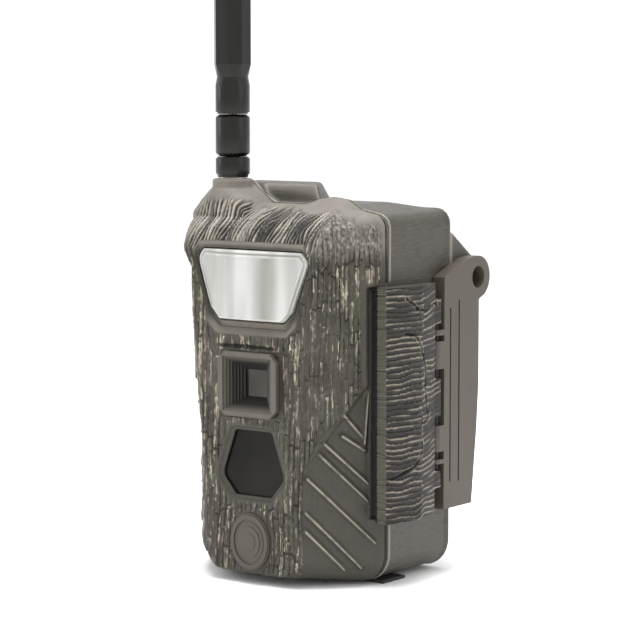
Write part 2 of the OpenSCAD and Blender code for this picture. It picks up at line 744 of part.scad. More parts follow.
module antenna_locknut() color("#c9c8c2") difference() {
    rod_z(5.2, collar_z, collar_z + 0.4, ant_x, ant_d);
    rod_z(thread_r, collar_z - 1, collar_z + 1, ant_x, ant_d);
}

// the socket's lead runs down to the modem inside the front shell
lead_route = [[ant_x, -8, socket_z0], [ant_x, -8, 120.6], [ant_x, -7.4, 118], [ant_x, -6.3, 115.6],
              [ant_x, -5.6, 113.2], [ant_x, -5.5, 110], [ant_x, -5.5, 106.2]];
lead_r = 0.7;
lead_sides = 8;

function unit(v) = v / norm(v);
function heading(p, i) = unit(p[min(i + 1, len(p) - 1)] - p[max(i - 1, 0)]);
function ring(p, i) =
    let (t = heading(p, i), u = unit(cross(t, [1, 0, 0])), v = cross(t, u))
    [for (k = [0:lead_sides - 1])
        p[i] + lead_r * (cos(360 * k / lead_sides) * u + sin(360 * k / lead_sides) * v)];

module antenna_lead() color("#1a1a1a")
    translate([0, seam_y, 0])
        polyhedron(
            points = [for (i = [0:len(lead_route) - 1], q = ring(lead_route, i)) q],
            faces = concat(
                [[for (k = [0:lead_sides - 1]) k]],
                [for (i = [0:len(lead_route) - 2], k = [0:lead_sides - 1])
                    let (a = i * lead_sides, b = (k + 1) % lead_sides)
                    [a + k, a + lead_sides + k, a + lead_sides + b, a + b]],
                [[for (k = [lead_sides - 1:-1:0]) (len(lead_route) - 1) * lead_sides + k]]
            ));

// the nut turns freely round the foot of the barrel
module antenna_nut() color("#282720") difference() {
    union() {
        rod_z(5.5, collar_z + 0.5, collar_z + 1.2, ant_x, ant_d);
        rod_z(barrel_r - 0.5, collar_z + 1.2, 149, ant_x, ant_d);
        rod_z(barrel_r, collar_z + 1.7, 148.5, ant_x, ant_d);
    }
    rod_z(thread_r + run_gap, collar_z - 1, nut_bore_z, ant_x, ant_d);
    rod_z(stem_r + run_gap, nut_bore_z - 1, 150, ant_x, ant_d);
}

module antenna_barrel() color("#282720") difference() {
    union() {
        // a flanged stem that the nut pulls down
        rod_z(thread_r, nut_bore_z - 1.2, nut_bore_z - 0.1, ant_x, ant_d);
        rod_z(stem_r, nut_bore_z - 0.3, 150.5, ant_x, ant_d);
        rod_z(barrel_r - 1, 149.2, swivel_z - 0.2, ant_x, ant_d);
        rod_z(barrel_r - 0.4, 149.8, 163.6, ant_x, ant_d);
        rod_z(barrel_r, 150.2, 163.2, ant_x, ant_d);
    }
    rod_z(core_r, socket_z1, swivel_z + 1, ant_x, ant_d);
}

module antenna_core() color("#b5963f")
    rod_z(core_r, socket_z1 - 2.8, 176, ant_x, ant_d);

// the round collar, the waist and the eight-sided whip above it
module antenna_whip() color("#2e2d27") difference() {
    union() {
        rod_z(barrel_r - 0.6, swivel_z, swivel_z + 0.6, ant_x, ant_d);
        rod_z(barrel_r, swivel_z + 0.6, 174.5, ant_x, ant_d);
        translate([ant_x, at(ant_d), 0]) {
            hull() {
                translate([0, 0, 174]) cylinder(r = barrel_r, h = 0.5, $fn = round_fn);
                translate([0, 0, 177.4]) cylinder(r = 5.6, h = 0.1, $fn = round_fn);
            }
            hull() {
                translate([0, 0, 177.4]) cylinder(r = 5.6, h = 0.1, $fn = round_fn);
                translate([0, 0, 182]) rotate([0, 0, 22.5]) cylinder(r = whip_r, h = 0.5, $fn = 8);
            }
            hull() {
                translate([0, 0, 182]) rotate([0, 0, 22.5]) cylinder(r = whip_r, h = 130, $fn = 8);
                translate([0, 0, whip_top_z - 4]) rotate([0, 0, 22.5]) cylinder(r = 5.6, h = 0.5, $fn = 8);
                translate([0, 0, whip_top_z - 1]) rotate([0, 0, 22.5]) cylinder(r = 3.4, h = 1, $fn = 8);
            }
        }
    }
    rod_z(core_r + run_gap, swivel_z - 1, 176.3, ant_x, ant_d);
}

// ---------------------------------------------------------------- electronics in the front shell

module main_board() color("#2f5d3a") difference() {
    box([-29, 29], board_d, [16, 114]);
    for (p = board_posts) both() rod_y(1, -10, -5, p[0], p[1]);
    // room for the antenna lead at the top edge
    box([ant_x - 3, ant_x + 3], [-10, -5], [112, 116]);
}

module board_screws() color("#8d8d8a")
    for (p = board_posts) both() screw(board_d[1] + 1.2, board_d[1], -12.6, p[0], p[1], 1.9, 0.9);

module modem_shield() color("#b9bab8") difference() {
    box([-25.6, -8], [board_d[1], -3.8], [90, 107.5]);
    box([-25, -8.6], [board_d[1] - 1, -4.3], [90.6, 106.9]);
    // the lead enters through the top of the can
    rod_z(lead_r + 0.2, 106, 109, ant_x, -5.5);
}

module motion_sensor() color("#a8a9a6") {
    rod_y(4.6, -12.6, -12.2, 0, sensor_z);
    rod_y(4.1, -16.4, -12.4, 0, sensor_z);
    // three short legs to the board
    for (a = [0, 120, 240])
        rod_y(0.35, -12.4, board_d[0], 2.4 * cos(a), sensor_z + 2.4 * sin(a), 16);
}

module microphone() color("#55565a")
    rod_y(2, board_d[0] - 1.4, board_d[0], -18, 62);

module lens_barrel() color("#1d1d1d") difference() {
    union() {
        rod_y(6.6, -19.6, -15.6, 0, lens_z);
        rod_y(5.9, -15.8, -11.6, 0, lens_z);
    }
    rod_y(4, -20, -10, 0, lens_z);
}

module lens_element() color("#2a3440")
    intersection() {
        rod_y(4, -19, -11.6, 0, lens_z);
        translate([0, at(-15), lens_z]) sphere(r = 4.6, $fn = 64);
    }

module lens_holder() color("#232323") difference() {
    box([-8.5, 8.5], [-14.2, board_d[0]], [lens_z - 8.5, lens_z + 8.5]);
    rod_y(5.9, -15, -11.4, 0, lens_z);
    box([-5.5, 5.5], [-11.6, -8], [lens_z - 5.5, lens_z + 5.5]);
}

module image_sensor() color("#34434f")
    box([-4.2, 4.2], [board_d[0] - 0.9, board_d[0]], [lens_z - 4.2, lens_z + 4.2]);

module lamp_board() color("#27402d") difference() {
    box([-12, 12], [-13, -11.8], [25, 56]);
    both() rod_y(1.1, -14, -11, 10, 28);
    both() rod_y(1.1, -14, -11, 10, 53);
}

module lamp_spacers() color("#c8b56a")
    for (z = [28, 53]) both() {
        rod_y(1.1, -13.6, -11.8, 10, z);
        rod_y(1.7, -11.8, board_d[0], 10, z);
    }

// domed infrared lamps in staggered rows
module lamps() color("#3a3340")
    for (row = [0:5], k = [0:3]) {
        x = -7.2 + 4.4 * k + (row % 2) * 1.2;
        z = 32.2 + 3.9 * row;
        rod_y(1.5, -15.4, -13, x, z, 24);
        translate([x, at(-15.4), z]) sphere(r = 1.5, $fn = 24);
    }

module screen() color("#151a1f") {
    box([-21, 21], [-5.8, -3], [64, 88]);
    box([-19, 19], [-3.1, -2.5], [66, 86]);
}

module inner_panel() color("#23221f") difference() {
    along_y(panel_d[0], panel_d[1]) round_rect(36, 8, 124, 6);
    // screen opening, button holes, switch slot, card and SIM access
    box([-18.4, 18.4], [-3, 1], [66.6, 85.4]);
    for (p = button_at) rod_y(button_r + 0.3, -3, 1, p[0], p[1]);
    box([switch_at[0] - 2, switch_at[0] + 2], [-3, 1], [switch_at[1] - 4.4, switch_at[1] + 4.4]);
    box([-28.4, -3.2], [-3, 1], [9.6, 17]);
    box([4.6, 21.4], [-3, 1], [9.6, 17]);
    for (p = panel_screws) both() rod_y(1, -3, 1, p[0], p[1]);
    // contact windows for the two power pins
    both() rod_y(1.8, -3, 1, pin_x, pin_z);
}

module panel_screws() color("#8d8d8a")
    for (p = panel_screws) both() screw(panel_d[1] + 1, panel_d[1], -5.6, p[0], p[1], 2, 0.9);

module button_switches() color("#9a9b98")
    for (p = button_at) box([p[0] - 2.2, p[0] + 2.2], [board_d[1], -6.2], [p[1] - 2.2, p[1] + 2.2]);

module menu_button(i) color("#4b4a46") {
    p = button_at[i - 1];
    rod_y(button_r, button_back_d, 0.6, p[0], p[1]);
    rod_y(button_r + 0.8, panel_d[0] - 0.95, panel_d[0] - 0.05, p[0], p[1]);
}

module power_switch() color("#9a9b98") difference() {
    box([switch_at[0] - 3, switch_at[0] + 3], [board_d[1], -3.4], [switch_at[1] - 6, switch_at[1] + 6]);
    box([switch_at[0] - 1.6, switch_at[0] + 1.6], [-5.6, -3], [switch_at[1] - 4.4, switch_at[1] + 4.4]);
}

module power_knob() color("#b8b3a2") {
    box([switch_at[0] - 1.3, switch_at[0] + 1.3], [-5.3, 0.6], [switch_at[1] - 3.9, switch_at[1] - 0.9]);
}

module card_socket() color("#b9bab8") difference() {
    box([-28.6, -2.9], [board_d[1], -3.6], [18, 44]);
    box([-27.9, -3.6], [-6.4, -4.1], [17, 43]);
}

module memory_card() color("#20242c")
    box([-27.75, -3.75], [-6.3, -4.2], [10.8, 42.8]);

module sim_holder() color("#b9bab8") difference() {
    box([4, 22], [board_d[1], -4.8], [18, 38]);
    box([5.3, 20.7], [-6.5, -5.5], [17, 37.4]);
}

module sim_card() color("#e8e6df")
    box([5.5, 20.5], [-6.4, -5.6], [12.2, 37.2]);

// two sprung pins that meet the tray's contacts when the case is closed
module power_pins() color("#b5963f")
    both() {
        rod_y(1.5, board_d[1], -2.4, pin_x - 1, pin_z);
        rod_y(0.9, -2.6, tray_d[0] - 0.25, pin_x - 0.4, pin_z);
    }

// ---------------------------------------------------------------- the whole

rear_shell();
front_shell();
seal();
hinge_pin();
sensor_lens();
lens_frame();
lens_window();
lamp_window();
badge();
latch_lever();
latch_hook();
lever_pin();
hook_pin();
antenna_nut();
antenna_barrel();
antenna_core();
antenna_whip();
antenna_socket();
antenna_locknut();
antenna_lead();
main_board();
modem_shield();
motion_sensor();
microphone();
lens_barrel();
lens_element();
lens_holder();
image_sensor();
lamp_board();
lamps();
lamp_spacers();
screen();
inner_panel();
panel_screws();
board_screws();
button_switches();
power_knob();
power_switch();
memory_card();
card_socket();
sim_holder();
sim_card();
power_pins();
battery_tray();
front_cells();
rear_cells();
contact_plates();
contact_springs();
tripod_insert();
power_jack();
jack_cover();
tree_bracket();
bracket_screws();
for (i = [1:len(BUTTONS)]) menu_button(i);
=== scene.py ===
"""Looks of the trail camera. The front shell, latch cover, rear shell and sensor window are carved from the
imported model's own shapes. Every other part keeps its shape and gets eased edges and a material."""
import math
from itertools import product

import bmesh
import bpy
import numpy as np
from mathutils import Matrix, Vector
from mathutils.bvhtree import BVHTree


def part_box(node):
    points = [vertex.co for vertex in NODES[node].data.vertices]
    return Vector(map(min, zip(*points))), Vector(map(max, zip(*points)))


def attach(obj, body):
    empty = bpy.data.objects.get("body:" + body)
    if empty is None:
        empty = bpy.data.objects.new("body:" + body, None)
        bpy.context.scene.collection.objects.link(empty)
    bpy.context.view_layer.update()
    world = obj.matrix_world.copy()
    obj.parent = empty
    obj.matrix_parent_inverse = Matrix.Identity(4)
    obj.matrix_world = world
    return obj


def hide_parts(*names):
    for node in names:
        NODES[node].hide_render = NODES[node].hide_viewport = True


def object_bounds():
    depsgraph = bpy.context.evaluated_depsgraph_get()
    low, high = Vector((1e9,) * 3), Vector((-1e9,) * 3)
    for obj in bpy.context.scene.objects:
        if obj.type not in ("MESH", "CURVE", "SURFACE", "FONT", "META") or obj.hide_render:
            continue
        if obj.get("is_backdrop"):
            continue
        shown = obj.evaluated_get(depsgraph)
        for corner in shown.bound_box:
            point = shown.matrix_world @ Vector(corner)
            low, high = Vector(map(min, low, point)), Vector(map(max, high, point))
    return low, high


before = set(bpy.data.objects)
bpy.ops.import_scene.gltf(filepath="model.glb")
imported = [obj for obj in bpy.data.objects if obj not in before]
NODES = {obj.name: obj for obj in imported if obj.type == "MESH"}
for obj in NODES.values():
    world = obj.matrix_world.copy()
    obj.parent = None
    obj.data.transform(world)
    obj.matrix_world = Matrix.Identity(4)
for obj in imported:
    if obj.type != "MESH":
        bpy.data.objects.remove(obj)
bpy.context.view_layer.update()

MM = 0.001
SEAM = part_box("seal")[1][1] / MM
SENSOR = [np.array(corner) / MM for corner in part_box("sensor_lens")]
LAMP = [np.array(corner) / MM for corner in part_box("lamp_window")]
LENS = [np.array(corner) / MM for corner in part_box("lens_frame")]
BADGE = [np.array(corner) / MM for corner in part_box("badge")]
HOOK = [np.array(corner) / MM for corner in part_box("latch_hook")]
ANTENNA = [np.array(corner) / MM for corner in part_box("antenna_locknut")]
LEVER_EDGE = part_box("latch_lever")[0][1] / MM - SEAM

# half outlines of the two windows, as shares of their boxes: (share of half width, share of height)
SENSOR_HALF = [(0.9, 1.0), (1.0, 0.89), (1.0, 0.817), (0.742, 0.15), (0.583, 0.0)]
LAMP_HALF = [(0.63, 1.0), (1.0, 0.38), (1.0, 0.29), (0.62, 0.0)]

# the case in plan, in mm: half width of its flat face, depth of the face before the seam (less than 0), half
# width at the seam, and depth of the back behind the seam
FACE_HALF, FACE_DEPTH, CASE_HALF, CASE_BACK = 20.4, -25.5, 41.0, 40.0
# heights between which the latch and the hinge lie against the rear shell's rim, in mm
LATCH_SPAN, HINGE_SPAN = (20.0, 107.0), (63.0, 113.0)
# the latch cover's inner face, in mm from the middle of the case
COVER_FACE = 43.0

# ridges on the sloping side panels: (distance back along the slope, height) of both ends, in mm
PANEL_RIDGES = [((9.6, 50.3), (26.1, 35.1)), ((7.8, 46.5), (25.7, 29.2)), ((3.6, 38.1), (27.9, 14.6)),
                ((3.0, 26.1), (23.1, 5.8)), ((3.0, 19.5), (17.1, 5.4)),
                ((15.7, 61.1), (23.2, 52.5)), ((16.1, 52.8), (23.9, 47.6)), ((26.0, 74.0), (24.0, 50.0))]
# upper edge of the smooth side panels, in the same terms
PANEL_EDGE = [(-1.0, 27.0), (1.1, 39.3), (7.5, 52.5), (17.1, 61.5), (26.1, 72.0), (34.0, 81.0)]

# the cracks across the latch cover: (depth behind the parting plane, height), in mm
CRACK = [(0.5, 88.5), (5.0, 88.0), (8.5, 84.5), (12.5, 76), (13, 65), (15, 58), (14, 56.6), (9, 56),
         (10.5, 47), (6, 41.5), (2, 40.5), (-6, 38)]
UPPER_CRACK = [(0.7, 101.0), (5.0, 98.2), (6.5, 96.7), (14.5, 95.7), (16.0, 97.3), (22.3, 97.8)]

# the brow is an arc round this point, as (depth, height), in mm
BROW_CENTRE, BROW_RADIUS = (-8.0, 113.5), 18.0
# heights where the front shell's skin changes, and the plain border round the badge, in mm
BROW_FOOT, DECK, TOWER = 116.0, 125.0, 132.5
BADGE_BORDER = 0.6


# ---------------------------------------------------------------- numbers on points

def smooth(value, low, high):
    """0 below low, 1 above high, and an S-curve between. low may be the greater."""
    t = np.clip((value - low) / (high - low), 0, 1)
    return t * t * (3 - 2 * t)


def between(value, span, edge=1.5):
    """1 inside a span, 0 outside it, with a soft edge on its inside."""
    return smooth(value, span[0], span[0] + edge) * smooth(value, span[1], span[1] - edge)


def hashed(cell):
    """A fixed number from 0 to 1 for each whole-number point."""
    n = (cell[:, 0] * 73856093) ^ (cell[:, 1] * 19349663) ^ (cell[:, 2] * 83492791)
    n &= 0x7FFFFFFF
    n = ((n ^ (n >> 13)) * 1274126177) & 0x7FFFFFFF
    n = ((n ^ (n >> 15)) * 668265263) & 0x7FFFFFFF
    return n / 0x7FFFFFFF


def noise(points, size, seed):
    """Smooth noise from 0 to 1. size is the length of one cell along each axis, in mm."""
    q = points / np.array(size, float) + seed * 17.31
    cell = np.floor(q).astype(np.int64)
    t = q - cell
    t = t * t * (3 - 2 * t)
    total = np.zeros(len(points))
    for corner in product((0, 1), repeat=3):
        weight = np.prod(np.where(corner, t, 1 - t), axis=1)
        total += weight * hashed(cell + np.array(corner))
    return total


def strips(across, along, width, length, seed):
    """Narrow strips side by side, each broken up at its own places. Returns the distance in mm from the
    strip's edge and down from the upper end of its piece, the piece's length, and a number of its own."""
    line = np.floor(across / width)
    none = np.zeros(len(line))

    def own(offset, second=none):
        return hashed(np.stack([line, second, none + seed + offset], axis=1).astype(np.int64))

    reach = length * (0.6 + 0.8 * own(0))
    run = along / reach + 40 * own(1)
    piece = np.floor(run)
    edge, down = across / width - line, 1 - (run - piece)
    return np.minimum(edge, 1 - edge) * width, down * reach, reach, own(2, piece)


def ribs(across, along, width, length, seed):
    """Unbroken ribs side by side that swell and fade along their length. Returns the place across the rib,
    0 to 1, and its strength there."""
    line = np.floor(across / width)
    rows = np.stack([7 * line, np.zeros(len(line)), along], axis=1)
    return across / width - line, noise(rows, (1, 1, length), seed)


def segment_distance(a, b, start, end):
    """Distance from the points (a, b) to a line from start to end, and the share of the way along it."""
    run, rise = end[0] - start[0], end[1] - start[1]
    share = np.clip(((a - start[0]) * run + (b - start[1]) * rise) / (run * run + rise * rise), 0, 1)
    return np.hypot(a - start[0] - share * run, b - start[1] - share * rise), share


def path_distance(a, b, path):
    """Distance from the points (a, b) to the nearest stretch of a path."""
    return np.min([segment_distance(a, b, p, q)[0] for p, q in zip(path, path[1:])], axis=0)


def window_distance(x, z, box, half):
    """Signed distance from the outline of a window, less than 0 inside it."""
    middle, half_width = (box[0][0] + box[1][0]) / 2, (box[1][0] - box[0][0]) / 2
    low, height = box[0][2], box[1][2] - box[0][2]
    right = [(middle + half_width * u, low + height * v) for u, v in half]
    loop = right + [(2 * middle - u, v) for u, v in reversed(right)]
    inside = np.zeros(len(x), bool)
    for (x0, z0), (x1, z1) in zip(loop, loop[1:] + loop[:1]):
        if z0 != z1:
            inside ^= ((z0 > z) != (z1 > z)) & (x < (x1 - x0) * (z - z0) / (z1 - z0) + x0)
    return np.where(inside, -1, 1) * path_distance(x, z, loop + loop[:1])


# ---------------------------------------------------------------- carving

def welded(node):
    """A copy of a CAD node's mesh, with the vertices that its shading split joined again."""
    mesh = NODES[node].data.copy()
    work = bmesh.new()
    work.from_mesh(mesh)
    bmesh.ops.remove_doubles(work, verts=work.verts, dist=1e-6)
    work.to_mesh(mesh)
    work.free()
    return mesh


def remeshed(node, voxel):
    """A CAD node's shape as an even net of small faces, so that it can be carved."""
    piece = bpy.data.objects.new(node + "_skin", welded(node))
    bpy.context.scene.collection.objects.link(piece)
    remesh = piece.modifiers.new("Remesh", "REMESH")
    remesh.mode = "VOXEL"
    remesh.voxel_size = voxel * MM
    graph = bpy.context.evaluated_depsgraph_get()
    mesh = bpy.data.meshes.new_from_object(piece.evaluated_get(graph))
    piece.modifiers.clear()
    piece.data = mesh
    mesh.materials.clear()
    return piece


def points_of(mesh):
    flat = np.empty(len(mesh.vertices) * 3)
    mesh.vertices.foreach_get("co", flat)
    return flat.reshape(-1, 3) / MM


def set_points(mesh, points):
    mesh.vertices.foreach_set("co", (points * MM).ravel())
    mesh.update()


def normals_of(mesh):
    flat = np.empty(len(mesh.vertices) * 3)
    mesh.vertex_normals.foreach_get("vector", flat)
    return flat.reshape(-1, 3)


def relax(mesh, rounds, amount):
    """Rounds edges off by moving each vertex towards its neighbours. amount is one number per vertex."""
    pairs = np.empty(len(mesh.edges) * 2, np.int64)
    mesh.edges.foreach_get("vertices", pairs)
    a, b = pairs[::2], pairs[1::2]
    points = points_of(mesh)
    count = np.maximum(np.bincount(a, minlength=len(points)) + np.bincount(b, minlength=len(points)), 1)
    for _ in range(rounds):
        mean = np.stack([np.bincount(a, points[b, k], len(points)) + np.bincount(b, points[a, k], len(points))
                         for k in range(3)], axis=1) / count[:, None]
        points = points + amount[:, None] * 0.6 * (mean - points)
    set_points(mesh, points)


def sees_out(mesh, points, normals, centre):
    """1 for a vertex on the outside of a shell: it looks away from the centre and nothing is before it."""
    away = np.einsum("ij,ij->i", points - centre, normals) > 0
    tree = BVHTree.FromPolygons([v.co for v in mesh.vertices], [p.vertices for p in mesh.polygons])
    result = np.zeros(len(points))
    for i in np.flatnonzero(away):
        start = Vector((points[i] + 0.3 * normals[i]) * MM)
        if tree.ray_cast(start, Vector(normals[i]))[0] is None:
            result[i] = 1
    return result


def store(mesh, name, values):
    """Keeps a number per vertex for the materials: bark, the share of rough skin; height, 0 in a furrow to 1
    on a crest, which the bark's colour follows with painted shade in the furrows and a painted highlight at
    the top (on the sensor window it holds strips of painted shade); ridge, lines in a colour of their own:
    painted highlights on ridges, edges and ticks, a paler rim on the rear shell and painted shade in the
    sensor rim's groove; pale, painted glints on crest lines and specks; brow, a lighter colour on the brow,
    the deck and the shelf below the sensor window, which is painted light from above."""
    mesh.attributes.new(name, "FLOAT", "POINT").data.foreach_set("value", values.astype(np.float32))


def stand_for(piece, node, body, material):
    """Puts a carved piece in the place of its CAD node."""
    for polygon in piece.data.polygons:
        polygon.use_smooth = True
    piece.data.materials.append(material)
    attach(piece, body)
    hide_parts(node)


# ---------------------------------------------------------------- the bark on the front shell

def slope_run(x, depth):
    """Distance back along the sloping side panel from its front edge."""
    return np.hypot(np.abs(x) - FACE_HALF, depth - FACE_DEPTH) * np.sign(np.abs(x) - FACE_HALF)


def panel_share(run, z):
    """1 on the smooth side panels below their diagonal upper edge."""
    edge = np.interp(run, [p[0] for p in PANEL_EDGE], [p[1] for p in PANEL_EDGE])
    return smooth(run, 1.0, 2.6) * smooth(z, edge + 0.5, edge - 1.0)


def panel_relief(run, z):
    """Thin ridges that run down and back, highest at their front ends."""
    height = np.zeros(len(z))
    for start, end in PANEL_RIDGES:
        distance, share = segment_distance(run, z, start, end)
        height = np.maximum(height, np.clip(1 - distance / 1.4, 0, 1) * (1 - 0.15 * share))
    return height


def around(x, depth):
    """Distance round the front shell from the middle of its face, in mm."""
    return x + np.clip(x / 20, -1, 1) * (depth - FACE_DEPTH)


def over_brow(z, depth):
    """Distance up the face, over the brow's arc and back along the top deck, in mm."""
    rise, back = z - BROW_CENTRE[1], depth - BROW_CENTRE[0]
    arc = BROW_RADIUS * np.arctan2(np.maximum(rise, 0), np.maximum(-back, 0.01))
    return BROW_CENTRE[1] + np.minimum(rise, 0) + arc + np.maximum(back, 0)


def bark_field(points, depth):
    """Height of the upright bark, from about -1 in a furrow to 1 on a crest, and raised specks at the fine
    strips' upper ends and along thin threads, which the material paints in the glint colour as painted
    glints.
    """
    z = points[:, 2]
    u = around(points[:, 0], depth) + 3.0 * (noise(points, (8, 8, 16), 1) - 0.5)
    u += 0.5 * (noise(points, (1.6, 1.6, 2.4), 8) - 0.5)
    v = z + 1.6 * (noise(points, (1.1, 1.1, 9), 9) - 0.5)
    edge, down, reach, number = strips(u, v, 2.4, 17, 2)
    fine_edge, fine_down, fine_reach, fine_number = strips(u, v, 0.95, 7, 3)
    end, fine_end = np.minimum(down, reach - down), np.minimum(fine_down, fine_reach - fine_down)
    patch = smooth(noise(points, (8, 8, 13), 7), 0.3, 0.62)
    gap = np.maximum(smooth(edge, 0.42, 0.05) * smooth(number, 0.1, 0.5), 0.8 * smooth(end, 0.55, 0.1))
    gap *= 0.25 + 0.75 * patch
    fine_gap = np.maximum(smooth(fine_edge, 0.26, 0.02), smooth(fine_end, 0.4, 0.1))
    fine_gap *= smooth(fine_number, 0.2, 0.6)
    thread = noise(points, (0.7, 0.7, 5), 4)
    pits = noise(points, (0.6, 0.6, 1.3), 6)
    # specks at the fine strips' upper ends and along thin threads: raised a little, and painted as glints in
    # the material
    painted_glint_specks = np.maximum(smooth(fine_down, 0.7, 0.4) * smooth(fine_number, 0.55, 0.65),
                       smooth(edge, 0.75, 0.55) * smooth(edge, 0.3, 0.45) * smooth(thread, 0.6, 0.75))
    painted_glint_specks *= smooth(pits, 0.5, 0.7) * smooth(noise(points, (6, 6, 9), 10), 0.38, 0.66)
    field = (0.45 * (number - 0.5) + 0.4 * (fine_number - 0.5) + 0.45 * (thread - 0.5) + 0.4 * (pits - 0.5)
             + 0.4 * painted_glint_specks - 1.0 * gap - 0.7 * fine_gap * (0.3 + 0.7 * patch) + 0.4)
    return field, painted_glint_specks


def brow_field(points, depth):
    """Height of the streaks that are combed up the brow and back over the top, and the crest lines that the
    material paints as glints, a painted highlight.
    """
    along = over_brow(points[:, 2], depth)
    flow = np.stack([points[:, 0], np.zeros(len(along)), along], axis=1)
    flow[:, 0] += 3.4 * (noise(flow, (9, 1, 13), 11) - 0.5) + 1.7 * (noise(flow, (2.3, 1, 8), 17) - 0.5)
    flow[:, 0] += 0.5 * (noise(flow, (1.2, 1, 2.5), 15) - 0.5)
    flow[:, 0] -= 0.2 * (along - BROW_CENTRE[1])
    place, strength = ribs(flow[:, 0], along, 1.5, 6, 12)
    fine_place, fine_strength = ribs(flow[:, 0] + 0.3, along, 0.85, 7, 16)
    crest = smooth(place, 0.3, 0.68) * smooth(place, 1.0, 0.74)
    clump = noise(flow, (3.4, 1, 13), 14)
    beads = noise(flow, (0.9, 1, 4.5), 13)
    # crest lines painted in the glint colour: a painted highlight
    painted_crest_glints = 0.75 * crest * smooth(strength, 0.45, 0.7) * smooth(beads + clump, 0.85, 1.3)
    field = ((1.5 * crest - 0.75) * (0.1 + 0.9 * strength) + 0.5 * (fine_strength - 0.5)
             + 1.25 * (clump - 0.5) + 0.35 * (beads - 0.5) - 0.4 * smooth(fine_place, 0.25, 0.05) + 0.15)
    return field, painted_crest_glints


def under_latch(x, z):
    """1 on the side where the latch cover lies against the shell."""
    beside = smooth(x, 37.0, 37.8)
    return beside * smooth(z, HOOK[0][2] - 2, HOOK[0][2]) * smooth(z, HOOK[1][2] + 2, HOOK[1][2])


def at_fitting(x, depth, latch):
    """1 where the shell fits its neighbours and stays as it is: the seam, the hinge and the latch cover."""
    hinge = smooth(x, 1.5 - CASE_HALF, -CASE_HALF) * smooth(depth, -7, -5)
    return np.maximum(np.maximum(smooth(depth, -2.2, -1.2), hinge), latch)


def clear_of_openings(points, sensor, shelf):
    """0 on the plain borders of the two windows, the lens frame, the badge and the antenna's foot."""
    x, z = points[:, 0], points[:, 2]
    above = smooth(z, SENSOR[1][2], SENSOR[1][2] + 2) * smooth(x, 24, 22)
    clear = smooth(sensor, shelf * 0.9, shelf * 1.25) * (1 - above * smooth(sensor, 3.2, 2.6))
    lamp = window_distance(x, z, LAMP, LAMP_HALF)
    clear *= smooth(lamp, 1.9, 2.6) + 0.4 * smooth(lamp, 0.8, 1.9) * smooth(lamp, 2.6, 1.9)
    middle, half = (LENS[0] + LENS[1]) / 2, (LENS[1] - LENS[0]) / 2
    clear *= smooth(np.maximum(np.abs(x) - LENS[1][0], np.abs(z - middle[2]) - half[2]), 0.2, 1.0)
    middle, half = (BADGE[0] + BADGE[1]) / 2, (BADGE[1] - BADGE[0]) / 2
    oval = np.hypot(x / (BADGE[1][0] + BADGE_BORDER), (z - middle[2]) / (half[2] + BADGE_BORDER))
    clear *= smooth(oval, 1.0, 1.08)
    middle = (ANTENNA[0] + ANTENNA[1]) / 2
    return clear * smooth(np.hypot(x - middle[0], points[:, 1] - middle[1]), 8.0, 9.5)


def smooth_top(points, depth):
    """The smooth skin on top, with a ragged edge where the streaks end: the deck, and the whole of it."""
    x, z = points[:, 0], points[:, 2]
    ragged = 7 * (noise(points, (1.3, 5, 5), 21) - 0.5)
    deck = smooth(z, DECK, DECK + 3) * smooth(depth + ragged, -14.5, -10.5)
    crown = smooth(np.hypot((x - 19) / 9, (depth + 6) / 9), 1.15, 0.9) * smooth(z, DECK - 1, DECK + 3)
    tower = smooth(z + ragged / 3, TOWER, TOWER + 3)
    beside_tower = smooth(x, -14, -20) * smooth(depth, -5, -9)
    return deck, np.maximum(np.maximum(deck * (1 - beside_tower), crown), tower)


def front_field(points, depth, brow_share, corner):
    """Bark on the face, streaks on the brow and fine speckle round its corners: height, and the marks that
    the material paints as glints.
    """
    bark, painted_glint_specks = bark_field(points, depth)
    brow, painted_crest_glints = brow_field(points, depth)
    speckle = noise(points, (0.5, 0.5, 1.0), 22) - 0.45
    field = bark * (1 - brow_share) + brow * brow_share
    field = field * (1 - 0.75 * corner) + 0.5 * speckle * corner
    # pale marks are painted glints: on the bark's specks, on the brow's crest lines and on the brow corners'
    # speckle
    pale = 0.65 * painted_glint_specks * (1 - brow_share) + painted_crest_glints * brow_share
    return field, np.maximum(pale * (1 - 0.7 * corner), 0.4 * corner * smooth(speckle, 0.2, 0.36))


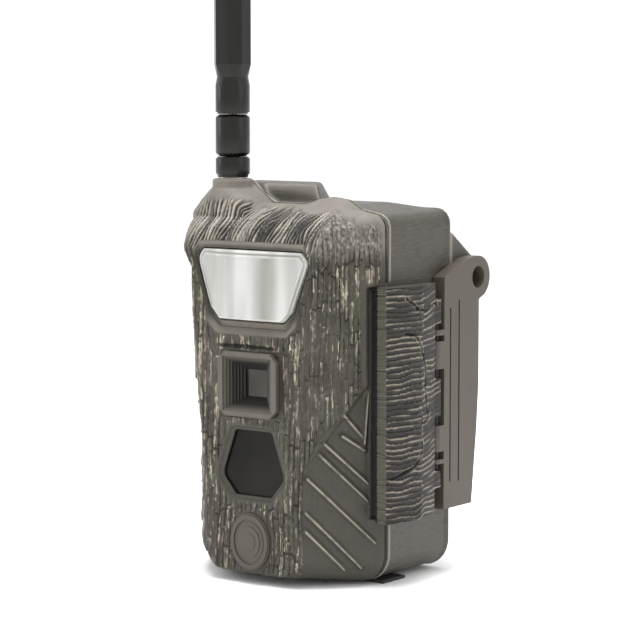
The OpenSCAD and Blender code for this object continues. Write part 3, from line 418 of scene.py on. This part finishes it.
def carve_front():
    """The front shell: bark, brow and side panels are cut into its outside, clear of its neighbours."""
    piece = remeshed("front_shell", 0.33)
    mesh = piece.data
    points = points_of(mesh)
    depth = points[:, 1] - SEAM
    latch = under_latch(points[:, 0], points[:, 2])
    fitting = at_fitting(points[:, 0], depth, latch)
    relax(mesh, 9, 1 - fitting)

    points, normals = points_of(mesh), normals_of(mesh)
    x, z = points[:, 0], points[:, 2]
    depth = points[:, 1] - SEAM
    outside = sees_out(mesh, points, normals, np.array([0, SEAM + 8, 65]))
    run = slope_run(x, depth)
    panel = panel_share(run, z)
    sensor = window_distance(x, z, SENSOR, SENSOR_HALF)
    shelf = 1.6 + 2.2 * smooth(z, SENSOR[0][2] + 5, SENSOR[0][2])
    deck, plain_top = smooth_top(points, depth)
    clear = (1 - fitting) * (1 - latch) * smooth(depth, -3.0, -4.8) * smooth(z, 1.5, 5.0)
    clear *= clear_of_openings(points, sensor, shelf) * (1 - plain_top)

    # the bark, cut deepest on the brow and along the chain of lumps beside the side panels
    brow_share = smooth(z, BROW_FOOT, BROW_FOOT + 2.5) * smooth(np.abs(x), 31, 26)
    corner = smooth(z, BROW_FOOT - 3, BROW_FOOT + 5) * smooth(np.abs(x), 26, 31)
    field, pale = front_field(points, depth, brow_share, corner)
    edge_chain = smooth(np.abs(x), 12.5, 15) * smooth(np.abs(x), 21.5, 19.5) * smooth(z, 62, 50)
    depth_of_cut = 0.46 + 0.30 * brow_share + 0.24 * edge_chain
    coarse = (noise(points, (11, 11, 19), 23) - 0.5) * smooth(depth, -4.0, -22.0)
    share = clear * (1 - panel)
    lift = share * (field * depth_of_cut + 0.9 * coarse)

    # the side panels: thin ridges, and a step down from the bark along their upper edge
    ridge = panel_relief(run, z) * smooth(depth, -1.5, -3.5) * smooth(z, 1, 4)
    lift += panel * clear * (1.7 * ridge - 0.6 + 0.55 * (noise(points, (5, 5, 5), 24) - 0.5))

    # the shelf round the sensor window slopes in towards it, widest and deepest below
    face = smooth(depth, -20, -23)
    below = smooth(z, SENSOR[0][2] + 3, SENSOR[0][2] - 1)
    bevel = np.clip((shelf - sensor) / shelf, 0, 1) * smooth(sensor, -0.4, 0.2) * face
    lift -= (0.9 + 1.9 * below) * bevel
    # a furrow over the lens frame
    over = np.abs(z - LENS[1][2] - 1.6 - 0.8 * (noise(points, (4, 4, 4), 25) - 0.5))
    furrow = smooth(over, 0.9, 0.1) * smooth(np.abs(x + 2), 14, 10) * face
    lift -= 0.7 * furrow

    # the edge at the parting line is eased, which leaves a thin groove beside the rear shell's rim; its
    # darkness is painted shade, as its height is set to 0 below
    plain_edge = (1 - latch) * smooth(x, -CASE_HALF, 1.5 - CASE_HALF)
    groove = smooth(depth, -1.9, -1.2) * plain_edge * smooth(np.abs(normals[:, 1]), 0.9, 0.5)
    lift -= 0.9 * groove

    lift *= outside
    set_points(mesh, points + lift[:, None] * normals)
    store(mesh, "bark", np.maximum(share, groove) * outside)
    # height drives the bark colour: dark in the furrows as painted shade, darker still in the furrow over the
    # lens frame and darkest in the parting groove, both painted shade
    store(mesh, "height", np.clip(0.5 + 0.5 * field, 0, 1) * (1 - 0.7 * furrow) * (1 - groove))
    # the panel ridges' crest lines in a paler colour: a painted highlight
    store(mesh, "ridge", smooth(ridge, 0.58, 0.9) * smooth(noise(points, (2, 2, 2), 26), -0.4, 0.6) * panel)
    # painted glints on the bark's specks and the brow's crest lines
    store(mesh, "pale", pale * share * outside)
    # a lighter colour on the brow, its corners, the deck and the shelf below the sensor window: painted light
    # from above
    lit_shelf = below * smooth(sensor, shelf * 1.1, shelf * 0.9)
    store(mesh, "brow", np.maximum(np.maximum(brow_share + corner, deck), lit_shelf))
    return piece


# ---------------------------------------------------------------- the latch cover and the rear shell

def cover_field(points, depth):
    """Ribs that run back over the latch cover. Returns their height, the crest line of each rib, its
    strength, and fine ticks.
    """
    behind = smooth(depth, 9, 12)
    level = points[:, 2] + 2.2 * (noise(points, (7, 8, 12), 32) - 0.5) + 0.9 * behind
    level += 0.35 * (noise(points, (3, 1.6, 3), 37) - 0.5)
    level -= 0.10 * depth * behind
    place, strength = ribs(level, depth + 30 * behind, 1.9, 9, 33)
    fine_place, fine_strength = ribs(level, depth, 0.63, 6, 34)
    crest = smooth(place, 0.62, 0.84) * smooth(place, 1.0, 0.92)
    gap = smooth(place, 0.22, 0.03)
    field = (0.35 * (strength - 0.5) + 0.6 * (place - 0.5) * (0.4 + strength) + 0.45 * (fine_strength - 0.5)
             - 0.3 * smooth(fine_place, 0.3, 0.05) + 0.6 * crest * (0.2 + strength) - 0.5 * gap + 0.1)
    ticks = smooth(fine_place, 0.35, 0.6) * smooth(fine_place, 1.0, 0.85) * smooth(fine_strength, 0.2, 0.6)
    return field, crest, strength, ticks


def beside_lever(depth):
    """1 along the cover's edge at the lever."""
    return smooth(depth, LEVER_EDGE - 3.0, LEVER_EDGE - 1.0)


def carve_hook():
    """The latch cover: cracked and ribbed like bark outside, with a ticked front edge."""
    piece = remeshed("latch_hook", 0.33)
    mesh = piece.data
    points = points_of(mesh)
    skin = smooth(points[:, 0], COVER_FACE, COVER_FACE + 1)
    relax(mesh, 3, (0.3 + 0.7 * skin) * (1 - 0.8 * beside_lever(points[:, 1] - SEAM)))
    points, normals = points_of(mesh), normals_of(mesh)
    x, z = points[:, 0], points[:, 2]
    depth = points[:, 1] - SEAM
    outer = smooth(normals[:, 0], 0.1, 0.5) * smooth(x, COVER_FACE + 0.6, COVER_FACE + 1.4)
    front = smooth(-normals[:, 1], 0.5, 0.9) * smooth(depth, -6.5, -7.5)
    field, crest, strength, ticks = cover_field(points, depth)

    jagged = 1.6 * (noise(points, (2, 1.3, 1.0), 31) - 0.5)
    crack_gap = np.minimum(path_distance(depth + jagged, z, CRACK),
                           path_distance(depth, z + jagged, UPPER_CRACK))
    crack = smooth(crack_gap, 0.6, 0.15)
    # raised lips beside the cracks, painted in the glint colour below as a painted highlight
    painted_highlight_lips = smooth(crack_gap, 1.2, 0.8) * smooth(crack_gap, 0.45, 0.65) * smooth(strength, 0.35, 0.6)
    lift = outer * (0.46 * field - 0.8 * crack + 0.2 * painted_highlight_lips) + front * 0.45 * (ticks - 0.4)
    # the skin stays low beside the lever, which folds against it
    near_lever = beside_lever(depth)
    lift = np.where(near_lever > 0, np.minimum(lift, (1 - near_lever) * lift - 0.15 * near_lever), lift)
    moved = points + lift[:, None] * normals
    # the toe that grips the shell lies deeper than the cover's edge
    toe = smooth(x, COVER_FACE - 0.9, COVER_FACE - 1.3) * smooth(-normals[:, 1], 0.3, 0.7)
    toe *= smooth(depth, -6.4, -7.0)
    moved[:, 1] += 1.8 * toe
    set_points(mesh, moved)
    # height is lowered in the cracks and set to 0 on the toe, where the colour ramp gives its darkest colour:
    # painted shade
    store(mesh, "height", np.clip(0.5 + 0.6 * field - 0.9 * crack, 0, 1) * (1 - toe))
    store(mesh, "bark", np.maximum(outer, toe))
    # the front edge's ticks in a paler colour: a painted highlight
    store(mesh, "ridge", front * (0.1 + 0.9 * ticks) * (1 - toe))
    # rib crest lines and the cracks' raised lips in the glint colour: painted highlights
    store(mesh, "pale", np.clip(crest * smooth(strength, 0.3, 0.7) + 0.8 * painted_highlight_lips, 0, 1) * outer * (1 - crack))
    return piece


def carve_rear():
    """The rear shell: rounded over, with a proud rim at the parting line and a faint grain."""
    piece = remeshed("rear_shell", 0.6)
    mesh = piece.data
    points = points_of(mesh)
    depth = points[:, 1] - SEAM
    sides = smooth(np.abs(points[:, 0]), CASE_HALF, CASE_HALF + 0.3)
    keep = np.maximum(sides, smooth(points[:, 2], 0.7, 0.1))
    front_part = 1 - 0.9 * smooth(depth, CASE_BACK - 7, CASE_BACK - 4)
    relax(mesh, 10, (1 - keep) * smooth(depth, 0.3, 3.5) * front_part)
    points, normals = points_of(mesh), normals_of(mesh)
    depth = points[:, 1] - SEAM
    z = points[:, 2]
    outside = sees_out(mesh, points, normals, np.array([0, SEAM + 12, 65]))
    flank = smooth(np.abs(normals[:, 1]), 0.5, 0.2)
    # the proud rim at the parting line stops at the latch and at the hinge
    near_latch = smooth(points[:, 0], CASE_HALF - 3, CASE_HALF - 2) * between(z, LATCH_SPAN)
    near_hinge = smooth(-points[:, 0], CASE_HALF - 3, CASE_HALF - 2) * between(z, HINGE_SPAN)
    rim = smooth(depth, 1.5, 0.9) * flank * (1 - near_latch) * (1 - near_hinge) * smooth(z, 0.2, 1.2)
    # the edge of the back and the front of the block on top are painted paler where they catch the light:
    # painted highlights
    from_back = CASE_BACK - depth
    painted_highlight_back_edge = smooth(from_back, 2.4, 1.6) * smooth(from_back, 0.1, 0.7) * flank
    corner = smooth(from_back, 4.5, 1.5) * smooth(np.abs(normals[:, 1]), 0.97, 0.7)
    block = smooth(z, 129.5, 130.5) * smooth(-normals[:, 1], 0.2, 0.5) * smooth(depth, 3, 5)
    scratch = 0.06 * (noise(points, (4, 4, 1.0), 41) - 0.5) * flank * (1 - rim)
    lift = outside * (0.3 * rim + 0.6 * corner + scratch)
    set_points(mesh, points + lift[:, None] * normals)
    # the proud rim in a paler colour, and the painted highlights on the back's edge and the block's front
    store(mesh, "ridge", np.maximum(np.maximum(rim, 0.7 * painted_highlight_back_edge), 0.6 * block) * outside)
    return piece


# ---------------------------------------------------------------- the sensor window

def carve_sensor():
    """The milky window: a raised rim, and upright facets that bulge a little each."""
    piece = remeshed("sensor_lens", 0.32)
    mesh = piece.data
    relax(mesh, 3, np.ones(len(mesh.vertices)))
    points, normals = points_of(mesh), normals_of(mesh)
    x, z = points[:, 0], points[:, 2]
    face = smooth(-normals[:, 1], 0.6, 0.95) * smooth(points[:, 1] - SEAM, -24.0, -25.0)
    inward = -window_distance(x, z, SENSOR, SENSOR_HALF)
    rim = np.maximum(smooth(inward, 0.9, 0.6), smooth(np.abs(inward - 1.9), 0.45, 0.2))
    inside = smooth(inward, 2.0, 2.6)
    facet = np.abs(np.sin(x / 48 * 7 * math.pi + 0.5 * noise(points, (4, 4, 20), 51)))
    lift = face * (0.26 * rim + inside * (0.2 * facet - 0.1))
    set_points(mesh, points + lift[:, None] * normals)
    # soft upright strips of painted shade across the window, and painted shade in the groove between the two
    # rims
    shade = 2.0 * (noise(points, (4, 4, 9), 52) - 0.5)
    painted_shade_band = np.exp(-((x - 7.0 + shade) / 3.4) ** 2) * inside
    store(mesh, "ridge", smooth(np.abs(inward - 1.25), 0.5, 0.2) * face)
    store(mesh, "height", painted_shade_band + 0.3 * np.exp(-((x + 13 + shade) / 2.2) ** 2) * inside)
    return piece


# ---------------------------------------------------------------- materials

def add(tree, kind, sockets=None, **settings):
    made = tree.nodes.new("ShaderNode" + kind)
    for name, value in settings.items():
        setattr(made, name, value)
    for name, value in (sockets or {}).items():
        if hasattr(value, "is_output"):
            tree.links.new(value, made.inputs[name])
        else:
            made.inputs[name].default_value = value
    return made


def rgb(*levels):
    """A colour from its 0 to 255 screen levels."""
    return tuple(((v / 255 + 0.055) / 1.055) ** 2.4 if v > 10 else v / 255 / 12.92 for v in levels) + (1.0,)


def start(name):
    material = bpy.data.materials.new(name)
    material.use_nodes = True
    tree = material.node_tree
    shader = tree.nodes["Principled BSDF"]
    place = add(tree, "TexCoord").outputs["Object"]
    return material, tree, shader, place


def grain(tree, place, cell, detail=3.0, rough=0.55):
    """Noise whose features are cell = (x, y, z) mm long."""
    stretch = add(tree, "Mapping", {"Vector": place, "Scale": tuple(1 / (c * MM) for c in cell)})
    texture = add(tree, "TexNoise", {"Vector": stretch.outputs[0], "Scale": 1.0, "Detail": detail,
                                     "Roughness": rough})
    return texture.outputs["Fac"]


def ramp(tree, factor, stops):
    made = add(tree, "ValToRGB", {"Fac": factor})
    elements = made.color_ramp.elements
    while len(elements) < len(stops):
        elements.new(0.5)
    for element, (place, colour) in zip(elements, stops):
        element.position = place
        element.color = colour
    return made.outputs["Color"]


def scaled(tree, factor, low, high, out_low, out_high):
    return add(tree, "MapRange", {"Value": factor, "From Min": low, "From Max": high, "To Min": out_low,
                                  "To Max": out_high}).outputs["Result"]


def mixed(tree, factor, a, b, blend="MIX"):
    made = add(tree, "Mix", data_type="RGBA", blend_type=blend)
    for index, value in ((0, factor), (6, a), (7, b)):
        if hasattr(value, "is_output"):
            tree.links.new(value, made.inputs[index])
        else:
            made.inputs[index].default_value = value
    return made.outputs[2]


def attribute(tree, name):
    """One of the numbers that store keeps per vertex."""
    return add(tree, "Attribute", attribute_name=name).outputs["Fac"]


def times(tree, a, b):
    return add(tree, "Math", {0: a, 1: b}, operation="MULTIPLY").outputs[0]


def bump(tree, height, strength, distance):
    made = add(tree, "Bump", {"Height": height, "Strength": strength, "Distance": distance * MM})
    return made.outputs["Normal"]


def bark_material(name, dark, middle, light, glint, plain, ridge, brow=None):
    """Painted plastic bark: furrows darkened with painted shade, crest lines lightened with painted
    highlights, and plain satin where the skin is smooth.
    """
    material, tree, shader, place = start(name)
    height, share = attribute(tree, "height"), attribute(tree, "bark")
    # the colour follows height: dark in the furrows as painted shade, the glint colour on the highest crest
    # lines as a painted highlight, and the bark's own tone between
    colour = ramp(tree, height, [(0.10, dark), (0.42, middle), (0.72, light), (0.95, glint)])
    patches = ramp(tree, grain(tree, place, (9, 9, 26), 2.0), [(0.38, (0.80, 0.72, 0.70, 1)),
                                                              (0.62, (1.10, 1.14, 1.02, 1))])
    colour = mixed(tree, 1.0, colour, patches, "MULTIPLY")
    # on the brow and the deck a lighter ramp: painted light from above
    if brow:
        pale = ramp(tree, height, [(0.12, dark), (0.4, middle), (0.62, brow), (0.92, glint)])
        colour = mixed(tree, attribute(tree, "brow"), colour, pale)
    smooth_skin = mixed(tree, scaled(tree, grain(tree, place, (6, 6, 8)), 0.3, 0.7, 0, 1), plain,
                        tuple(0.84 * v for v in plain[:3]) + (1,))
    colour = mixed(tree, share, smooth_skin, colour)
    # the smooth skin on top in the lighter brow colour: painted light from above
    if brow:
        painted_lit_top_skin = mixed(tree, scaled(tree, grain(tree, place, (5, 5, 5)), 0.3, 0.7, 0, 1), brow,
                         tuple(0.8 * v for v in brow[:3]) + (1,))
        colour = mixed(tree, times(tree, attribute(tree, "brow"), add(
            tree, "Math", {0: 1.0, 1: share}, operation="SUBTRACT").outputs[0]), colour, painted_lit_top_skin)
    # ridge lines in the ridge colour: painted highlights on the panel ridges and the cover's ticks
    colour = mixed(tree, times(tree, attribute(tree, "ridge"), 0.8), colour, ridge)
    # pale marks in the glint colour: painted glints
    colour = mixed(tree, times(tree, attribute(tree, "pale"), 0.8), colour, glint)
    tree.links.new(colour, shader.inputs["Base Color"])
    fine = grain(tree, place, (0.5, 0.5, 2.6), 4.0)
    even = grain(tree, place, (0.35, 0.35, 0.35), 2.0)
    relief = mixed(tree, share, even, fine)
    tree.links.new(scaled(tree, height, 0.2, 0.9, 0.66, 0.46), shader.inputs["Roughness"])
    shader.inputs["Specular IOR Level"].default_value = 0.4
    tree.links.new(bump(tree, relief, 0.5, 0.22), shader.inputs["Normal"])
    return material


def plastic(name, colour, rough, cell, vary, texture, relief, shine=0.5):
    """Moulded plastic: soft patches of colour, and a fine eroded texture."""
    material, tree, shader, place = start(name)
    low = tuple(v * (1 - vary) for v in colour[:3]) + (1,)
    high = tuple(min(1, v * (1 + vary)) for v in colour[:3]) + (1,)
    patches = grain(tree, place, cell)
    tree.links.new(ramp(tree, patches, [(0.3, low), (0.7, high)]), shader.inputs["Base Color"])
    tree.links.new(scaled(tree, patches, 0.3, 0.7, rough - 0.06, rough + 0.08), shader.inputs["Roughness"])
    tree.links.new(bump(tree, grain(tree, place, texture, 2.0), 0.6, relief), shader.inputs["Normal"])
    shader.inputs["Specular IOR Level"].default_value = shine
    return material


def louvre_material(name, rim, painted_recess_shade):
    """Satin trim with painted shade that grows with depth between the louvres of the lens frame."""
    material, tree, shader, place = start(name)
    depth = add(tree, "SeparateXYZ", {"Vector": place}).outputs["Y"]
    front = LENS[0][1] * MM
    inward = scaled(tree, depth, front + 0.6 * MM, front + 3.2 * MM, 0, 1)
    patches = scaled(tree, grain(tree, place, (7, 7, 7)), 0.3, 0.7, 0, 1)
    outer = mixed(tree, patches, rim, tuple(0.86 * v for v in rim[:3]) + (1,))
    tree.links.new(mixed(tree, inward, outer, painted_recess_shade), shader.inputs["Base Color"])
    tree.links.new(scaled(tree, patches, 0, 1, 0.4, 0.5), shader.inputs["Roughness"])
    tree.links.new(bump(tree, grain(tree, place, (0.4, 0.4, 0.4), 2.0), 0.5, 0.06), shader.inputs["Normal"])
    return material


def case_material():
    """The rear half: satin grey-brown with fine short scratches that run across it, a paler rim, and painted
    highlights on the back's edge and the block's front.
    """
    material, tree, shader, place = start("case_plastic")
    patches = grain(tree, place, (16, 16, 9))
    colour = ramp(tree, patches, [(0.3, rgb(54, 50, 43)), (0.7, rgb(64, 60, 52))])
    scratch = grain(tree, place, (4.5, 4.5, 0.5), 2.0, 0.5)
    marks = ramp(tree, scratch, [(0.34, (0.5, 0.49, 0.48, 1)), (0.41, (1, 1, 1, 1)), (0.60, (1, 1, 1, 1)),
                                 (0.68, (1.6, 1.58, 1.55, 1))])
    colour = mixed(tree, 0.8, colour, marks, "MULTIPLY")
    # the ridge colour: a paler rim, and painted highlights on the back's edge and the block's front
    colour = mixed(tree, times(tree, attribute(tree, "ridge"), 0.7), colour, rgb(150, 145, 134))
    tree.links.new(colour, shader.inputs["Base Color"])
    tree.links.new(scaled(tree, patches, 0.3, 0.7, 0.42, 0.52), shader.inputs["Roughness"])
    tree.links.new(bump(tree, scratch, 0.55, 0.25), shader.inputs["Normal"])
    return material


def sensor_material():
    """Milky moulded polythene with soft upright bands of light and shade."""
    material, tree, shader, place = start("sensor_milk")
    bands = grain(tree, place, (7.5, 40, 60), 1.0, 0.4)
    colour = ramp(tree, bands, [(0.34, rgb(160, 160, 157)), (0.5, rgb(176, 176, 173)),
                                (0.66, rgb(192, 192, 189))])
    # the strips of painted shade across the window
    colour = mixed(tree, times(tree, attribute(tree, "height"), 0.8), colour, rgb(132, 132, 122))
    # painted shade in the groove between the two rims
    colour = mixed(tree, times(tree, attribute(tree, "ridge"), 0.75), colour, rgb(120, 118, 108))
    tree.links.new(colour, shader.inputs["Base Color"])
    shader.inputs["Roughness"].default_value = 0.22
    shader.inputs["Subsurface Weight"].default_value = 0.35
    shader.inputs["Subsurface Radius"].default_value = (1.0, 1.0, 1.0)
    shader.inputs["Subsurface Scale"].default_value = 0.003
    shader.inputs["Coat Weight"].default_value = 0.4
    shader.inputs["Coat Roughness"].default_value = 0.08
    tree.links.new(bump(tree, grain(tree, place, (2.4, 2.4, 14), 1.0), 0.25, 0.3), shader.inputs["Normal"])
    return material


def dark_glass(name, top, bottom, rough=0.12, shine=0.35):
    """A dark window that passes infrared: a slight change of tone across it under a polished face."""
    material, tree, shader, place = start(name)
    cloud = grain(tree, place, (16, 16, 22), 1.0, 0.4)
    tree.links.new(ramp(tree, cloud, [(0.35, bottom), (0.65, top)]), shader.inputs["Base Color"])
    dust = grain(tree, place, (0.5, 0.5, 0.5), 4.0)
    tree.links.new(scaled(tree, dust, 0.3, 0.8, rough, rough + 0.12), shader.inputs["Roughness"])
    shader.inputs["Specular IOR Level"].default_value = shine
    return material


def metal(name, colour, rough=0.3, brush=(0.3, 0.3, 4.0)):
    """Turned or drawn metal: fine marks along it and a little tarnish."""
    material, tree, shader, place = start(name)
    tarnish = grain(tree, place, (2.5, 2.5, 2.5))
    low = tuple(0.72 * v for v in colour[:3]) + (1,)
    tree.links.new(ramp(tree, tarnish, [(0.3, low), (0.65, colour)]), shader.inputs["Base Color"])
    marks = grain(tree, place, brush, 3.0)
    tree.links.new(scaled(tree, marks, 0.3, 0.7, rough - 0.08, rough + 0.12), shader.inputs["Roughness"])
    tree.links.new(bump(tree, marks, 0.35, 0.03), shader.inputs["Normal"])
    shader.inputs["Metallic"].default_value = 1.0
    return material


def board_material():
    """Green solder mask with copper tracks showing faintly under it."""
    material, tree, shader, place = start("circuit_board")
    stretch = add(tree, "Mapping", {"Vector": place, "Scale": (1 / MM, 1 / MM, 1 / MM)})
    bricks = add(tree, "TexBrick", {"Vector": add(tree, "Mapping", {"Vector": stretch.outputs[0],
                                    "Rotation": (math.pi / 2, 0, 0)}).outputs[0],
                                    "Scale": 0.32, "Mortar Size": 0.05, "Color1": rgb(34, 84, 48),
                                    "Color2": rgb(30, 74, 44), "Mortar": rgb(66, 122, 74)})
    specks = ramp(tree, grain(tree, place, (1.1, 1.1, 1.1), 1.0),
                  [(0.6, (1, 1, 1, 1)), (0.72, (1.7, 1.6, 1.0, 1))])
    tree.links.new(mixed(tree, 1.0, bricks.outputs["Color"], specks, "MULTIPLY"), shader.inputs["Base Color"])
    shader.inputs["Roughness"].default_value = 0.35
    tree.links.new(bump(tree, bricks.outputs["Fac"], 0.4, 0.05), shader.inputs["Normal"])
    return material


def wrap_material():
    """Foil round a cell: brushed grey with fine marks along it."""
    material, tree, shader, place = start("cell_wrap")
    foil = grain(tree, place, (5, 1.2, 1.2))
    colour = ramp(tree, foil, [(0.3, rgb(96, 99, 104)), (0.7, rgb(140, 143, 148))])
    tree.links.new(colour, shader.inputs["Base Color"])
    shader.inputs["Metallic"].default_value = 0.7
    tree.links.new(scaled(tree, foil, 0.3, 0.7, 0.25, 0.42), shader.inputs["Roughness"])
    tree.links.new(bump(tree, foil, 0.3, 0.05), shader.inputs["Normal"])
    return material


# in both bark colour sets the glint and ridge colours are painted highlights and the dark colour is mostly
# painted shade in the furrows; the front's brow colour is painted light from above
bark = bark_material("bark_front", rgb(15, 12, 9), rgb(45, 42, 35), rgb(69, 65, 56), rgb(170, 163, 150),
                     rgb(62, 59, 51), rgb(160, 153, 140), brow=rgb(113, 108, 99))
cover_bark = bark_material("bark_cover", rgb(8, 6, 4), rgb(24, 20, 16), rgb(36, 31, 25), rgb(126, 118, 106),
                           rgb(58, 54, 47), rgb(108, 103, 93))
case = case_material()
trim = plastic("trim_plastic", rgb(69, 62, 54), 0.46, (14, 14, 26), 0.07, (0.3, 0.3, 0.3), 0.05)
# the second colour is painted shade between the louvres
louvre = louvre_material("lens_trim", rgb(86, 80, 72), rgb(30, 28, 25))
window_black = dark_glass("lamp_filter", rgb(28, 26, 22), rgb(14, 12, 10), 0.3, 0.15)
window_clear = dark_glass("lens_glass", rgb(62, 55, 49), rgb(20, 18, 16), 0.1)
antenna_black = plastic("antenna_plastic", rgb(12, 11, 8), 0.25, (5, 5, 30), 0.2, (0.35, 0.35, 1.6), 0.04,
                        shine=0.34)
rubber = plastic("rubber", rgb(34, 33, 30), 0.72, (3, 3, 3), 0.16, (0.25, 0.25, 0.25), 0.09)
black = plastic("black_plastic", rgb(34, 33, 31), 0.48, (9, 9, 9), 0.15, (0.3, 0.3, 0.3), 0.08)
pale = plastic("pale_plastic", rgb(190, 184, 168), 0.42, (4, 4, 4), 0.08, (0.3, 0.3, 0.3), 0.05)
steel = metal("steel", (0.56, 0.56, 0.55, 1), 0.28)
black_steel = metal("blackened_steel", (0.035, 0.034, 0.032, 1), 0.5)
brass = metal("brass", (0.66, 0.47, 0.19, 1), 0.26)
nickel = metal("nickel", (0.62, 0.6, 0.56, 1), 0.24, (4.0, 0.4, 0.4))
board = board_material()
silicon = dark_glass("silicon", rgb(58, 74, 92), rgb(36, 44, 60), 0.08)
epoxy = dark_glass("lamp_epoxy", rgb(74, 64, 82), rgb(48, 42, 56), 0.1)
screen_glass = dark_glass("screen_glass", rgb(30, 34, 38), rgb(16, 19, 22), 0.06)
wrap = wrap_material()

FINISHES = [
    (trim, 0.45, ["latch_lever", "badge"]),
    (louvre, 0.28, ["lens_frame"]),
    (case, 0.5, ["tree_bracket"]),
    (window_black, 0.3, ["lamp_window"]),
    (window_clear, 0.15, ["lens_window", "lens_element"]),
    (antenna_black, 0.35, ["antenna_nut", "antenna_barrel", "antenna_whip"]),
    (rubber, 0.2, ["seal", "jack_cover", "antenna_lead"]),
    (steel, 0.15, ["hinge_pin", "panel_screws", "board_screws", "bracket_screws"]),
    (black_steel, 0.15, ["lever_pin", "hook_pin"]),
    (brass, 0.15, ["tripod_insert", "antenna_socket", "antenna_core", "power_pins", "lamp_spacers"]),
    (nickel, 0.1, ["contact_plates", "contact_springs", "antenna_locknut", "modem_shield", "card_socket",
                   "sim_holder", "motion_sensor"]),
    (board, 0.15, ["main_board", "lamp_board"]),
    (black, 0.3, ["power_jack", "lens_barrel", "lens_holder", "battery_tray", "inner_panel", "power_switch",
                  "button_switches", "memory_card", "microphone"]
     + ["menu_button_%d" % i for i in range(1, 6)]),
    (pale, 0.2, ["power_knob", "sim_card"]),
    (silicon, 0.1, ["image_sensor"]),
    (epoxy, 0.1, ["lamps"]),
    (screen_glass, 0.3, ["screen"]),
    (wrap, 0.3, ["front_cells", "rear_cells"]),
]


def finish_node(node, material, width):
    """A CAD node keeps its shape: its edges are eased a little and it gets its material."""
    piece = NODES[node]
    weld = piece.modifiers.new("Weld", "WELD")
    weld.merge_threshold = 1e-6
    bevel = piece.modifiers.new("Bevel", "BEVEL")
    bevel.width = width * MM
    bevel.segments = 2
    bevel.limit_method = "ANGLE"
    bevel.angle_limit = math.radians(32)
    bevel.harden_normals = False
    for slot in piece.material_slots:
        slot.material = material
    if not piece.material_slots:
        piece.data.materials.append(material)


# ---------------------------------------------------------------- stage

def soft_light(name, place, target, size, power):
    lamp = bpy.data.lights.new(name, "AREA")
    lamp.shape = "RECTANGLE"
    lamp.size, lamp.size_y = size
    lamp.energy = power
    made = bpy.data.objects.new(name, lamp)
    made.location = place
    made.rotation_euler = (Vector(target) - Vector(place)).to_track_quat("-Z", "Y").to_euler()
    bpy.context.scene.collection.objects.link(made)


def studio():
    """A plain white floor in white surroundings, with three soft lights."""
    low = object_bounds()[0][2]
    mesh = bpy.data.meshes.new("floor")
    half = 6.0
    mesh.from_pydata([(-half, -half, low), (half, -half, low), (half, half, low), (-half, half, low)], [],
                     [(0, 1, 2, 3)])
    floor = bpy.data.objects.new("floor", mesh)
    bpy.context.scene.collection.objects.link(floor)
    material, tree, shader, place = start("floor")
    tone = grain(tree, place, (300, 300, 300), 1.0)
    tree.links.new(ramp(tree, tone, [(0.3, (0.95, 0.95, 0.95, 1)), (0.7, (0.98, 0.98, 0.98, 1))]),
                   shader.inputs["Base Color"])
    shader.inputs["Roughness"].default_value = 0.9
    mesh.materials.append(material)
    floor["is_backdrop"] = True

    world = bpy.data.worlds.new("studio")
    world.use_nodes = True
    world.node_tree.nodes["Background"].inputs["Color"].default_value = (1, 1, 1, 1)
    world.node_tree.nodes["Background"].inputs["Strength"].default_value = 1.06
    bpy.context.scene.world = world

    soft_light("top", (0.05, -0.05, 1.0), (0, 0, 0.06), (0.6, 0.6), 11.5)
    soft_light("right", (1.0, 0.10, 0.45), (0, 0, 0.07), (0.4, 0.7), 0.9)
    soft_light("left", (-1.1, -0.55, 0.5), (0, 0, 0.1), (0.3, 0.8), 2.2)


def camera():
    """A long lens from the right of the front, a little above."""
    data = bpy.data.cameras.new("view")
    data.lens = 138.66
    data.sensor_width = 36
    made = bpy.data.objects.new("view", data)
    made.location = (0.5296, -0.7228, 0.1785)
    made.rotation_euler = (math.radians(90 - 5.7), 0, math.radians(36.4))
    bpy.context.scene.collection.objects.link(made)
    bpy.context.scene.camera = made


camera()
stand_for(carve_front(), "front_shell", "front_case", bark)
stand_for(carve_hook(), "latch_hook", "hook", cover_bark)
stand_for(carve_rear(), "rear_shell", "rear_case", case)
stand_for(carve_sensor(), "sensor_lens", "front_case", sensor_material())
for material, width, nodes in FINISHES:
    for node in nodes:
        finish_node(node, material, width)
studio()
bpy.context.scene.view_settings.view_transform = "Standard"
